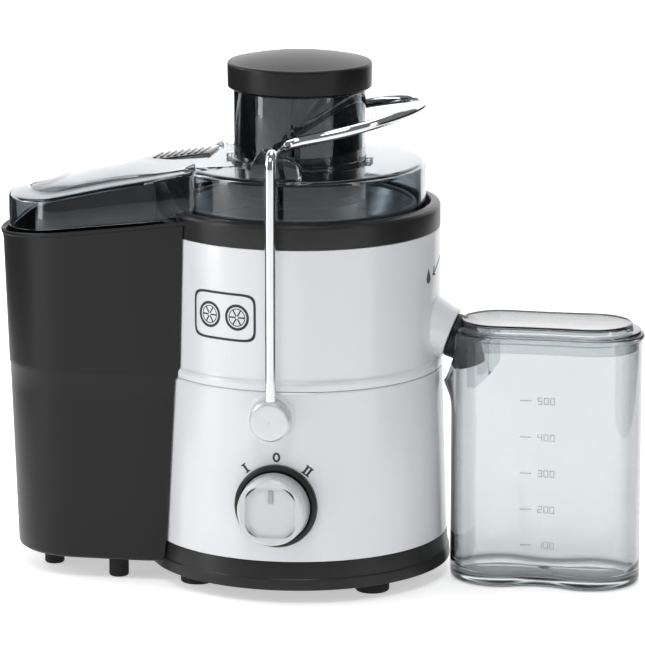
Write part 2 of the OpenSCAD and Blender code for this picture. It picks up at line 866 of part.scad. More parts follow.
module jug_lid() {
    color("#b4c2c0") difference() {
        union() {
            translate([0, 0, jug_h + seat_gap]) linear_extrude(lip_t) jug_plan(0.6);
            translate([0, 0, jug_h + seat_gap]) linear_extrude(jug_lid_t) jug_plan(lid_inset);
            translate([0, 0, jug_h - 9]) linear_extrude(10) jug_plan(jug_wall + slide_gap);
        }
        translate([0, 0, jug_h - 10]) linear_extrude(10 + seat_gap) jug_plan(jug_wall + slide_gap + lip_t);
        translate([0, 0, jug_h]) linear_extrude(jug_lid_t - lip_t) jug_plan(lid_inset + lip_t);
        translate([0, -mouth_half - 1, jug_h - 20]) cube([pocket_x - 8, 2 * mouth_half + 2, 40]);
    }
}

// A chamfered side plate of the pocket, standing on the y side of the outlet.
module pocket_plate(y) {
    start = jug_near + jug_wall;
    low = mouth_z + 2;
    cut = 10;
    translate([0, y + plate_w / 2, 0]) rotate([90, 0, 0]) linear_extrude(plate_w) polygon([
        [start, low], [pocket_x - cut, low], [pocket_x, low + cut], [pocket_x, pocket_top], [start, pocket_top]
    ]);
}

module froth_separator() {
    color("#b4c2c0") intersection() {
        union() {
            for (s = [-1, 1]) pocket_plate(s * pocket_half);
            translate([pocket_x - plate_w, -pocket_half, mouth_z + 12]) {
                cube([plate_w, 2 * pocket_half, pocket_top - mouth_z - 12]);
            }
        }
        linear_extrude(jug_h * 2) jug_plan(lid_inset + lip_t + seat_gap);
    }
}

base_ring();
bottom_plate();
rubber_feet();
bottom_screws();
lower_housing();
upper_housing();
top_collar();
juice_bowl();
shaft_seal();
front_pivot_seat();
rear_pivot_seat();
dial_bezel();
speed_switch();
lid_switch();
cord_gland();
terminal_block();
motor_deck();
motor_stator();
field_coils();
upper_bracket();
lower_bracket();
upper_bearing();
lower_bearing();
motor_screws();
motor_dampers();
brush_holders();
juice_nozzle();
motor_shaft();
rotor_core();
commutator();
cooling_fan();
drive_coupling();
filter_basket();
basket_rim();
grater_disc();
speed_knob();
knob_spindle();
locking_arm();
front_pivot_cap();
rear_pivot_cap();
pivot_pins();
pin_clips();
lid_shell();
lid_deck();
bin_cover();
feed_chute();
latch_saddles();
pusher_cap();
pusher_tube();
pulp_bin();
bin_feet();
juice_jug();
jug_lid();
froth_separator();
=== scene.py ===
"""Centrifugal juicer: the shells, clear parts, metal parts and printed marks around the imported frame."""

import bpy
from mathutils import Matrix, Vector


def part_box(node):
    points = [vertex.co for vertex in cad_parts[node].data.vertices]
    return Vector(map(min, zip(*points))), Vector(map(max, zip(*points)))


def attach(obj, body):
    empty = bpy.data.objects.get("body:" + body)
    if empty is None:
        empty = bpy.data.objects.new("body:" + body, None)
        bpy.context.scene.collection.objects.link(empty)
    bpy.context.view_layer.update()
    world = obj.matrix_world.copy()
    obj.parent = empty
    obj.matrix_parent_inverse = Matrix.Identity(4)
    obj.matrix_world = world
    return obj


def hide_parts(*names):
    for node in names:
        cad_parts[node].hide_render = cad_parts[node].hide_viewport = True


bl_info = {
    "name": "Centrifugal juicer",
    "version": (1, 0, 0),
    "blender": (4, 5, 0),
    "location": "View3D > Sidebar > Juicer",
    "description": "Builds the visible pieces of a centrifugal juicer around its packed frame",
    "category": "Object",
}

from math import atan2, cos, degrees, pi, radians, sin, sqrt

import bmesh
import bpy
from bpy.props import FloatProperty, FloatVectorProperty, PointerProperty
from mathutils import Matrix, Vector

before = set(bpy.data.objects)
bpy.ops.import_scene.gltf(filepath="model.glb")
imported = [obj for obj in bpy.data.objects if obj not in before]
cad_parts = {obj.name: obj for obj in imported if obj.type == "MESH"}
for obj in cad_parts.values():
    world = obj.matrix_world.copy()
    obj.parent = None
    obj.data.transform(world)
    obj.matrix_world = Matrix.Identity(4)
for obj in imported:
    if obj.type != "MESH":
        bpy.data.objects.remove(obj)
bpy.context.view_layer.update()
MM = 0.001
UP = Vector((0, 0, 1))


# ---------------------------------------------------------------- properties

class JuicerSizes(bpy.types.PropertyGroup):
    """Sizes that only the looks use."""
    lid_wall: FloatProperty(
        name="Clear wall", description="Wall of the clear lid and chute",
        default=0.0022, min=0.001, max=0.004, unit="LENGTH")
    jug_wall: FloatProperty(
        name="Jug wall", description="Wall of the clear jug",
        default=0.002, min=0.001, max=0.004, unit="LENGTH")
    print_depth: FloatProperty(
        name="Print thickness", description="Thickness of the printed marks",
        default=0.00008, min=0.00002, max=0.0005, unit="LENGTH")
    dome: FloatProperty(
        name="Cover crown", description="How far the bin cover bulges above a flat slope",
        default=0.0062, min=0, max=0.01, unit="LENGTH")


class JuicerColours(bpy.types.PropertyGroup):
    """Colours of the finishes."""
    pearl: FloatVectorProperty(
        name="Housing", description="Pearl white of the housings", subtype="COLOR", size=3,
        default=(0.74, 0.745, 0.77), min=0, max=1)
    black: FloatVectorProperty(
        name="Black trim", description="Black of the collar and the base ring", subtype="COLOR", size=3,
        default=(0.012, 0.0115, 0.0115), min=0, max=1)
    bin: FloatVectorProperty(
        name="Bin", description="Satin black of the pulp bin and the pusher cap", subtype="COLOR", size=3,
        default=(0.008, 0.0075, 0.0078), min=0, max=1)
    smoke: FloatVectorProperty(
        name="Smoke", description="Tint of the lid and the chute", subtype="COLOR", size=3,
        default=(0.40, 0.44, 0.465), min=0, max=1)
    jug: FloatVectorProperty(
        name="Jug", description="Tint of the jug", subtype="COLOR", size=3,
        default=(0.72, 0.745, 0.75), min=0, max=1)
    knob: FloatVectorProperty(
        name="Dial", description="Pale grey of the dial", subtype="COLOR", size=3,
        default=(0.60, 0.605, 0.61), min=0, max=1)


def sizes():
    return bpy.context.scene.juicer_sizes


def colours():
    return bpy.context.scene.juicer_colours


# ---------------------------------------------------------------- shader maths

class Link:
    """A node socket that adds Math nodes when it is used in an expression."""

    def __init__(self, shader, socket):
        self.shader = shader
        self.socket = socket

    def _math(self, operation, first, second=None):
        values = {0: first} if second is None else {0: first, 1: second}
        return self.shader.node("ShaderNodeMath", {"operation": operation}, values)

    def __add__(self, other):
        return self._math("ADD", self, other)

    def __radd__(self, other):
        return self._math("ADD", other, self)

    def __sub__(self, other):
        return self._math("SUBTRACT", self, other)

    def __rsub__(self, other):
        return self._math("SUBTRACT", other, self)

    def __mul__(self, other):
        return self._math("MULTIPLY", self, other)

    def __rmul__(self, other):
        return self._math("MULTIPLY", other, self)

    def __truediv__(self, other):
        return self._math("DIVIDE", self, other)

    def __gt__(self, other):
        return self._math("GREATER_THAN", self, other)

    def __lt__(self, other):
        return self._math("LESS_THAN", self, other)

    def power(self, exponent):
        return self._math("POWER", self, exponent)

    def size(self):
        return self._math("ABSOLUTE", self)

    def wave(self):
        return self._math("SINE", self)


class Shader:
    """A material built from a Principled BSDF and expressions on its inputs."""

    def __init__(self, name, **constants):
        self.material = bpy.data.materials.new(name)
        self.material.use_nodes = True
        self.tree = self.material.node_tree
        self.surface = self.tree.nodes["Principled BSDF"]
        for socket, value in constants.items():
            self.set(socket.replace("_", " "), value)

    def set(self, socket, value):
        """Sets or links one input of the surface."""
        target = self.surface.inputs[socket]
        if isinstance(value, Link):
            self.tree.links.new(value.socket, target)
        elif isinstance(value, (tuple, list)) or hasattr(value, "r"):
            target.default_value = (*value[:3], 1.0)
        else:
            target.default_value = value

    def node(self, kind, settings=None, inputs=None, output=0):
        """Adds any node: its settings first, then the values or links of its sockets."""
        made = self.tree.nodes.new(kind)
        for key, value in (settings or {}).items():
            if key == "stops":
                self._ramp(made.color_ramp, value)
            else:
                setattr(made, key, value)
        for socket, value in (inputs or {}).items():
            if isinstance(value, Link):
                self.tree.links.new(value.socket, made.inputs[socket])
            else:
                made.inputs[socket].default_value = value
        return Link(self, made.outputs[output])

    @staticmethod
    def _ramp(ramp, stops):
        while len(ramp.elements) < len(stops):
            ramp.elements.new(0.5)
        for element, (place, value) in zip(ramp.elements, stops):
            element.position = place
            element.color = (value, value, value, 1)

    def place(self):
        """The point on the piece in metres."""
        return self.node("ShaderNodeTexCoord", output=3)

    def axes(self, vector=None):
        """X, Y and Z of a vector as three links."""
        split = self.node("ShaderNodeSeparateXYZ", inputs={0: vector or self.place()})
        outputs = split.socket.node.outputs
        return [Link(self, outputs[i]) for i in range(3)]

    def noise(self, scale, detail=3.0, vector=None):
        return self.node("ShaderNodeTexNoise", inputs={
            "Vector": vector or self.place(), "Scale": scale, "Detail": detail})

    def ramp(self, value, stops):
        return self.node("ShaderNodeValToRGB", {"stops": stops}, {0: value})

    def mix(self, factor, first, second):
        """A colour between two colours."""
        made = self.tree.nodes.new("ShaderNodeMix")
        made.data_type = "RGBA"
        for index, value in ((0, factor), (6, first), (7, second)):
            if isinstance(value, Link):
                self.tree.links.new(value.socket, made.inputs[index])
            elif index == 0:
                made.inputs[index].default_value = value
            else:
                made.inputs[index].default_value = (*value[:3], 1.0)
        return Link(self, made.outputs[2])

    def bump(self, height, strength, distance):
        normal = self.node("ShaderNodeBump", inputs={
            "Strength": strength, "Distance": distance, "Height": height})
        self.set("Normal", normal)
        return self


def shade(colour, factor):
    return tuple(min(1.0, channel * factor) for channel in colour)


def pearl_plastic():
    """Glossy white moulding with a faint flow pattern, fine dust and soft scuffs."""
    tone = tuple(colours().pearl)
    s = Shader("pearl_plastic", Specular_IOR_Level=0.5, Coat_IOR=1.5, Coat_Roughness=0.06)
    flow = s.noise(9.0, 2.0)
    fine = s.noise(420.0, 2.0)
    s.set("Base Color", s.mix(flow, shade(tone, 0.97), tone))
    s.set("Roughness", 0.24 + flow * 0.06 + fine * 0.05)
    s.set("Coat Weight", 0.35 + flow * 0.1)
    return s.bump(fine + s.noise(60.0, 1.0) * 2.0, 0.05, 0.00025).material


def black_gloss():
    """Semi-gloss black moulding of the collar and base ring."""
    tone = tuple(colours().black)
    s = Shader("black_gloss", Specular_IOR_Level=0.28, Coat_Roughness=0.12)
    flow = s.noise(22.0, 3.0)
    fine = s.noise(900.0, 2.0)
    s.set("Base Color", s.mix(flow, tone, shade(tone, 1.35)))
    s.set("Roughness", 0.30 + flow * 0.08 + fine * 0.06)
    s.set("Coat Weight", 0.04 + flow * 0.06)
    return s.bump(fine, 0.06, 0.0002).material


def black_satin():
    """Satin black moulding of the pulp bin and pusher cap, with a fine spark texture."""
    tone = tuple(colours().bin)
    s = Shader("black_satin", Specular_IOR_Level=0.26)
    grain = s.noise(1500.0, 3.0)
    cloud = s.noise(14.0, 3.0)
    s.set("Base Color", s.mix(cloud, tone, shade(tone, 1.3)))
    s.set("Roughness", 0.31 + cloud * 0.06 + grain * 0.07)
    return s.bump(grain, 0.12, 0.00018).material


def black_rubber():
    s = Shader("black_rubber", Specular_IOR_Level=0.3)
    grain = s.noise(1100.0, 4.0)
    s.set("Base Color", s.mix(grain, (0.010, 0.010, 0.010), (0.026, 0.025, 0.025)))
    s.set("Roughness", 0.72 + grain * 0.15)
    return s.bump(grain, 0.3, 0.0002).material


def clear_plastic(name, tone, rough, density):
    """Tinted clear moulding: a see-through surface whose colour deepens at grazing walls."""
    s = Shader(name, Specular_IOR_Level=0.5, IOR=1.49, Transmission_Weight=1.0)
    haze = s.noise(18.0, 3.0)
    fine = s.noise(260.0, 2.0)
    s.set("Base Color", s.mix(haze, shade(tone, density), tone))
    s.set("Roughness", rough + haze * 0.02 + fine * 0.015)
    return s.bump(fine, 0.008, 0.0002).material


def smoke_clear():
    return clear_plastic("smoke_clear", tuple(colours().smoke), 0.015, 0.96)


def jug_clear():
    """The jug's clear plastic, with painted shade: darker at its ends, at its thick floor and along the lid's
    raised edge.
    """
    tone = tuple(colours().jug)
    s = Shader("jug_clear", Specular_IOR_Level=0.5, IOR=1.49, Transmission_Weight=1.0)
    x, _, z = s.axes()
    # Painted shade: the tint darkens towards the jug's two ends, where the clear walls turn away from view.
    ends = s.ramp(((x - 0.1421) * 18.3).size(), [(0.80, 0.0), (0.86, 0.3), (0.94, 0.4), (0.985, 1.0)])
    # Painted shade: a near-black band at the foot of the jug and across its floor.
    floor = s.ramp(z * 100.0, [(0.30, 1.0), (0.42, 0.35), (0.56, 0.3), (0.70, 0.0)])
    # Painted shade: a thin dark line along the lid's raised edge.
    painted_brim_shade = s.ramp(((z - 0.1492) * 900.0).size(), [(0.3, 1.0), (1.0, 0.0)])
    haze = s.noise(18.0, 3.0)
    body = s.mix(haze, shade(tone, 0.95), tone)
    # Painted shade mixed in: the ends, the floor band and the lid's edge pull the tint towards near-black.
    body = s.mix(ends * 0.8, body, shade(tone, 0.34))
    body = s.mix(floor * 0.95, body, (0.035, 0.05, 0.052))
    s.set("Base Color", s.mix(painted_brim_shade * 0.9, body, shade(tone, 0.12)))
    fine = s.noise(260.0, 2.0)
    s.set("Roughness", 0.015 + haze * 0.02 + fine * 0.015)
    return s.bump(fine, 0.03, 0.0002).material


def chrome():
    s = Shader("chrome", Metallic=1.0)
    film = s.noise(55.0, 3.0)
    s.set("Base Color", s.mix(film, (0.60, 0.605, 0.62), (0.72, 0.72, 0.73)))
    s.set("Roughness", 0.05 + film * 0.05)
    return s.bump(s.noise(700.0, 2.0), 0.02, 0.0001).material


def silver_paint():
    """Pale silver plastic of the pivot caps, with metallic flake."""
    s = Shader("silver_paint", Metallic=0.55, Coat_Roughness=0.15)
    flake = s.noise(2600.0, 2.0)
    s.set("Base Color", s.mix(flake, (0.56, 0.565, 0.58), (0.74, 0.745, 0.76)))
    s.set("Roughness", 0.34 + flake * 0.1)
    s.set("Coat Weight", 0.2 + flake * 0.05)
    return s.bump(flake, 0.05, 0.0001).material


def dial_plastic():
    tone = tuple(colours().knob)
    s = Shader("dial_plastic", Specular_IOR_Level=0.5, Coat_Roughness=0.1)
    flow = s.noise(40.0, 2.0)
    fine = s.noise(800.0, 2.0)
    s.set("Base Color", s.mix(flow, shade(tone, 0.95), tone))
    s.set("Roughness", 0.27 + fine * 0.08)
    s.set("Coat Weight", 0.2 + flow * 0.1)
    return s.bump(fine, 0.06, 0.00015).material


def printed_ink(name, tone):
    s = Shader(name, Specular_IOR_Level=0.4)
    speck = s.noise(3000.0, 2.0)
    s.set("Base Color", s.mix(speck, tone, shade(tone, 1.4)))
    s.set("Roughness", 0.42 + speck * 0.1)
    return s.bump(speck, 0.05, 0.00005).material


def plain_steel(name, tone, turned):
    """Stainless or plated steel; turned adds fine circular tool marks."""
    s = Shader(name, Metallic=1.0)
    x, y, z = s.axes()
    ring = (x * x + y * y).power(0.5)
    grooves = s.node("ShaderNodeCombineXYZ", inputs={0: ring * turned, 1: z * turned, 2: 0.0})
    marks = s.noise(1.0, 2.0, grooves)
    s.set("Base Color", s.mix(marks, shade(tone, 0.86), tone))
    s.set("Roughness", 0.22 + marks * 0.16)
    return s.bump(marks, 0.1, 0.00008).material


def bowl_plastic():
    s = Shader("bowl_plastic", Specular_IOR_Level=0.5)
    flow = s.noise(30.0, 2.0)
    s.set("Base Color", s.mix(flow, (0.66, 0.665, 0.66), (0.72, 0.72, 0.715)))
    s.set("Roughness", 0.32 + flow * 0.1)
    return s.bump(s.noise(500.0), 0.05, 0.0002).material


def iron_laminations():
    s = Shader("iron_laminations", Metallic=0.8)
    z = s.axes()[2]
    sheets = (z * 9000.0).wave() * 0.5 + 0.5
    s.set("Base Color", s.mix(sheets, (0.16, 0.16, 0.17), (0.30, 0.30, 0.31)))
    s.set("Roughness", 0.45 + s.noise(120.0) * 0.2)
    return s.bump(sheets, 0.5, 0.0002).material


def copper_windings():
    s = Shader("copper_windings", Metallic=1.0)
    x, y, _ = s.axes()
    turns = ((x * x + y * y).power(0.5) * 7000.0).wave() * 0.5 + 0.5
    s.set("Base Color", s.mix(turns, (0.48, 0.20, 0.09), (0.80, 0.42, 0.22)))
    s.set("Roughness", 0.3 + s.noise(300.0) * 0.15)
    return s.bump(turns, 0.6, 0.0003).material


def zinc_plate():
    s = Shader("zinc_plate", Metallic=0.9)
    spangle = s.noise(90.0, 4.0)
    s.set("Base Color", s.mix(spangle, (0.45, 0.46, 0.48), (0.62, 0.63, 0.65)))
    s.set("Roughness", 0.35 + spangle * 0.2)
    return s.bump(spangle, 0.1, 0.0002).material


FINISHES = {}


def finish(name):
    """The shared material of that name, made on first use."""
    makers = {
        "pearl": pearl_plastic, "black": black_gloss, "satin": black_satin, "rubber": black_rubber,
        "smoke": smoke_clear, "jug": jug_clear, "chrome": chrome, "silver": silver_paint,
        "dial": dial_plastic, "bowl": bowl_plastic, "iron": iron_laminations, "copper": copper_windings,
        "zinc": zinc_plate,
        "dark_smoke": lambda: clear_plastic("dark_smoke", shade(tuple(colours().smoke), 0.42), 0.02, 0.9),
        "steel": lambda: plain_steel("stainless_steel", (0.62, 0.63, 0.65), 900.0),
        "ink": lambda: printed_ink("dark_ink", (0.018, 0.018, 0.020)),
        "grey_ink": lambda: printed_ink("grey_ink", (0.30, 0.32, 0.33)),
    }
    if name not in FINISHES:
        FINISHES[name] = makers[name]()
    return FINISHES[name]


# ---------------------------------------------------------------- mesh helpers

def profile_mesh(points):
    """A bmesh holding one open line of edges through the points given as (radius, height)."""
    bm = bmesh.new()
    made = [bm.verts.new((r, 0, z)) for r, z in points]
    for first, second in zip(made, made[1:]):
        bm.edges.new((first, second))
    return bm


def rounded(points, radius, steps=4):
    """The line with its inner corners rounded by arcs of that radius where they fit."""
    line = [Vector(p) for p in points]
    out = [tuple(line[0])]
    for before, here, after in zip(line, line[1:], line[2:]):
        a, b = (before - here), (after - here)
        turn = a.angle(b)
        reach = min(radius / max(1e-6, abs(sin(turn / 2) / cos(turn / 2))), a.length * 0.45, b.length * 0.45)
        if turn > pi - 0.05:
            out.append(tuple(here))
            continue
        p, q = here + a.normalized() * reach, here + b.normalized() * reach
        for i in range(steps + 1):
            t = i / steps
            out.append(tuple(p * (1 - t) ** 2 + here * 2 * t * (1 - t) + q * t * t))
    out.append(tuple(line[-1]))
    return out


def lathe(points, steps=128, radius=0.0, closed=False):
    """A profile of (radius, height) points in metres spun about Z."""
    if closed:
        points = [tuple((Vector(points[0]) + Vector(points[-1])) / 2), *points]
        points.append(points[0])
    bm = profile_mesh(rounded(points, radius) if radius else points)
    bmesh.ops.spin(bm, geom=bm.verts[:] + bm.edges[:], cent=(0, 0, 0), axis=UP, angle=2 * pi,
                   steps=steps, use_merge=True)
    bmesh.ops.remove_doubles(bm, verts=bm.verts, dist=1e-6)
    return bm


def piece(name, bm, material, body, replaces=(), smooth=40.0, outward=True):
    """Makes the finished object: normals out, shaded smooth up to an angle, riding on its body."""
    if outward:
        bmesh.ops.recalc_face_normals(bm, faces=bm.faces)
    for edge in bm.edges:
        edge.smooth = len(edge.link_faces) == 2 and edge.calc_face_angle(0.0) < radians(smooth)
    for face in bm.faces:
        face.smooth = True
    mesh = bpy.data.meshes.new(name)
    bm.to_mesh(mesh)
    bm.free()
    mesh.materials.append(finish(material))
    made = bpy.data.objects.new(name, mesh)
    bpy.context.collection.objects.link(made)
    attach(made, body)
    if replaces:
        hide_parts(*([replaces] if isinstance(replaces, str) else replaces))
    return made


def wall(made, thickness, offset=-1.0):
    """Gives a single-skin piece its thickness inwards."""
    solid = made.modifiers.new("Wall", "SOLIDIFY")
    solid.thickness = thickness
    solid.offset = offset
    solid.use_even_offset = True
    return made


def box_mm(node):
    """A node's box in millimetres as (low, high)."""
    low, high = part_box(node)
    return Vector(low) / MM, Vector(high) / MM


def mm(*points):
    """Points given in millimetres as metres."""
    return [tuple(c * MM for c in point) for point in points]


def moved(bm, matrix):
    bmesh.ops.transform(bm, matrix=matrix, verts=bm.verts)
    return bm


def shifted(bm, x, y, z):
    """Moves a mesh by a distance in millimetres."""
    return moved(bm, Matrix.Translation(Vector((x, y, z)) * MM))


def turned(name, points, material, body, slot=None, replaces=(), radius=0.0, steps=144, move=None):
    """A closed profile in millimetres spun about Z, optionally moved by a matrix."""
    bm = lathe(mm(*points), steps, radius * MM, closed=True)
    if move:
        moved(bm, move)
    return piece(name, bm, material, body, replaces)


def facing(x, y, z, back=False):
    """Turns local +Z to the front, or to the back, with the origin at the point in millimetres."""
    turn = Matrix.Rotation(-pi / 2 if back else pi / 2, 4, "X")
    return Matrix.Translation(Vector((x, y, z)) * MM) @ turn


def merged(*meshes):
    """Several bmeshes as one."""
    whole = bmesh.new()
    for bm in meshes:
        held = bpy.data.meshes.new("held")
        bm.to_mesh(held)
        bm.free()
        whole.from_mesh(held)
        bpy.data.meshes.remove(held)
    return whole


def block(x, y, z, wide, deep, high, bevel=0.4, segments=3):
    """A box in millimetres about its middle, with rounded edges."""
    bm = bmesh.new()
    bmesh.ops.create_cube(bm, size=1.0)
    bmesh.ops.scale(bm, vec=Vector((wide, deep, high)) * MM, verts=bm.verts)
    bmesh.ops.translate(bm, vec=Vector((x, y, z)) * MM, verts=bm.verts)
    if bevel:
        bmesh.ops.bevel(bm, geom=bm.edges[:], offset=bevel * MM, segments=segments, profile=0.5,
                        affect="EDGES", material=-1)
    return bm


def ring_of(bm, points):
    """A closed or open chain of vertices through the points in millimetres."""
    made = [bm.verts.new(Vector(p) * MM) for p in points]
    for first, second in zip(made, made[1:]):
        bm.edges.new((first, second))
    return made


def loft(rings, closed=True, cap_first=False, cap_last=False):
    """A skin through rings of equal length, each extruded from the one before and set in place."""
    bm = bmesh.new()
    made = ring_of(bm, rings[0])
    if closed:
        bm.edges.new((made[-1], made[0]))
    line = bm.edges[:]
    if cap_first:
        bm.faces.new(made)
    for ring in rings[1:]:
        grown = bmesh.ops.extrude_edge_only(bm, edges=line)["geom"]
        fresh = {g for g in grown if isinstance(g, bmesh.types.BMVert)}
        line = [g for g in grown if isinstance(g, bmesh.types.BMEdge) and fresh.issuperset(g.verts)]
        follow = {edge.other_vert(vert): vert for vert in fresh for edge in vert.link_edges
                  if edge.other_vert(vert) not in fresh}
        made = [follow[vert] for vert in made]
        for vert, point in zip(made, ring):
            vert.co = Vector(point) * MM
    if cap_last:
        bm.faces.new(made)
    return bm


def sweep(path, radius, sides=32):
    """A round bar along a path in millimetres, with closed ends."""
    points = [Vector(p) for p in path]
    tangents = [(b - a).normalized() for a, b in zip(points, points[1:])]
    between = [(a + b).normalized() for a, b in zip(tangents, tangents[1:])]
    tangents = [tangents[0], *between, tangents[-1]]
    side = tangents[0].orthogonal().normalized()
    rings = []
    for point, along in zip(points, tangents):
        side = (side - along * side.dot(along)).normalized()
        other = along.cross(side)
        rings.append([point + (side * cos(a) + other * sin(a)) * radius
                      for a in (2 * pi * i / sides for i in range(sides))])
    return loft(rings, cap_first=True, cap_last=True)


def arc(centre, radius, start, end, steps):
    """Points of an arc in a plane, in degrees."""
    return [(centre[0] + radius * cos(radians(start + (end - start) * i / steps)),
             centre[1] + radius * sin(radians(start + (end - start) * i / steps))) for i in range(steps + 1)]


def smoothstep(low, high, value):
    t = min(1.0, max(0.0, (value - low) / (high - low)))
    return t * t * (3 - 2 * t)


class Builder:
    """What every operator of the add-on shares."""
    bl_options = {"REGISTER", "UNDO"}

    def execute(self, context):
        self.build(sizes())
        return {"FINISHED"}


# ---------------------------------------------------------------- housings

HOUSING_TAPER = 2.8     # how much narrower the lower housing is at its top
SEAM_BEAD = 1.4         # how far the bead at the seam stands out
SPOUT_Z, SPOUT_TILT = 142.4, 110


class JUICER_OT_base(Builder, bpy.types.Operator):
    """Builds the black base ring, the rubber feet and the finish of the floor plate"""
    bl_idname = "juicer.base"
    bl_label = "Base ring and feet"

    def build(self, size):
        low, high = box_mm("base_ring")
        r = high.x
        turned("base_ring_shell", [
            (r - 2.6, low.z), (r, low.z), (r - 0.5, low.z + 6), (r - 1.1, low.z + 6.8),
            (r - 1.9, high.z), (r - 4.5, high.z)], "black", "base", "trim_black", "base_ring", 0.5)
        low, high = box_mm("rubber_feet")
        foot = 9.6
        feet = []
        for sx in (-1, 1):
            for sy in (-1, 1):
                bm = lathe(mm((0.1, 0), (foot - 0.8, 0), (foot, 0.8), (foot, 4.6), (foot - 0.9, 5.2),
                              (foot - 0.9, 8.2), (0.1, 8.2)), 64, 0.0005, closed=True)
                feet.append(shifted(bm, sx * (high.x - foot), sy * (high.y - foot), 0))
        piece("rubber_feet_moulded", merged(*feet), "rubber", "base", "rubber_feet")


class JUICER_OT_housings(Builder, bpy.types.Operator):
    """Builds the two pearl housings with the seam bead and the outlet stub"""
    bl_idname = "juicer.housings"
    bl_label = "Housings"

    def build(self, size):
        low, high = box_mm("lower_housing")
        top_r = high.x - HOUSING_TAPER
        turned("lower_housing_shell", [
            (high.x - 2.6, low.z), (high.x - 0.1, low.z), (high.x, low.z + 1), (top_r + 0.05, high.z - 0.8),
            (top_r - 0.5, high.z), (top_r - 2.6, high.z)],
            "pearl", "base", "housing_white", "lower_housing", 0.4)
        up_low, up_high = box_mm("upper_housing")
        seam = up_low.z
        r = up_high.y - SEAM_BEAD
        shell = lathe(mm(
            (r - 2.6, seam + 0.1), (r + 0.9, seam + 0.1), (r + 1.45, seam + 0.7), (r + 1.45, seam + 3.6),
            (r + 0.9, seam + 5.2), (r + 0.15, seam + 6), (r, seam + 7), (r, up_high.z), (r - 2.6, up_high.z)),
            144, 0.0005, closed=True)
        stub = lathe(mm((10.3, -8), (18.5, -8), (17.2, -2), (16.2, 2), (15.5, 5), (15.1, 9), (10.3, 9)),
                     96, 0.0008, closed=True)
        piece("upper_housing_shell", merged(shell, moved(stub, spout_frame())), "pearl", "base",
              "upper_housing")
        low, high = box_mm("top_collar")
        r = high.x
        turned("top_collar_shell", [
            (r - 8.7, low.z), (r, low.z), (r, high.z - 2.4), (r - 0.7, high.z - 0.9), (r - 3.2, high.z),
            (r - 5.4, high.z), (r - 5.8, high.z - 1), (r - 6.6, high.z - 6), (r - 8.7, high.z - 6)],
            "black", "base", "trim_black", "top_collar", 0.6)
        for node, back in (("front_pivot_seat", False), ("rear_pivot_seat", True)):
            low, high = box_mm(node)
            y = high.y if back else low.y
            turned(node + "_moulded", [(3.2, -5), (13.6, -5), (12.3, -0.5), (11.8, 0), (3.2, 0)], "pearl",
                   "base", "housing_white", node, 0.4, 96, facing(0, y, (low.z + high.z) / 2, back))


def spout_frame():
    """The outlet's axis: local +Z runs out of the housing and down."""
    wall_x = box_mm("upper_housing")[1].y - 2.3
    tilt = Matrix.Rotation(radians(SPOUT_TILT), 4, "Y")
    return Matrix.Translation(Vector((wall_x, 0, SPOUT_Z)) * MM) @ tilt


class JUICER_OT_nozzle(Builder, bpy.types.Operator):
    """Builds the black outlet sleeve and its down-turned nozzle"""
    bl_idname = "juicer.nozzle"
    bl_label = "Juice nozzle"

    def build(self, size):
        frame_out = spout_frame()
        sleeve = lathe(mm((8, 9.1), (12, 9.1), (12.6, 9.8), (12.6, 13), (12.2, 13.4), (12.6, 13.8),
                          (12.6, 20.6), (11.4, 22.1), (8, 22.1)), 96, 0.0004, closed=True)
        tip = lathe(mm((7.6, -2), (9.2, -2), (9.2, 11), (8.9, 14.4), (8.2, 15), (7.6, 15)),
                    96, 0.0004, closed=True)
        knee = frame_out @ Matrix.Translation((0, 0, 0.017)) @ Matrix.Rotation(radians(52), 4, "Y")
        ball = bmesh.new()
        bmesh.ops.create_uvsphere(ball, u_segments=48, v_segments=24, radius=0.0098)
        moved(ball, frame_out @ Matrix.Translation((0, 0, 0.0168)))
        piece("juice_nozzle_moulded", merged(moved(sleeve, frame_out), moved(tip, knee), ball), "satin",
              "base", "juice_nozzle")


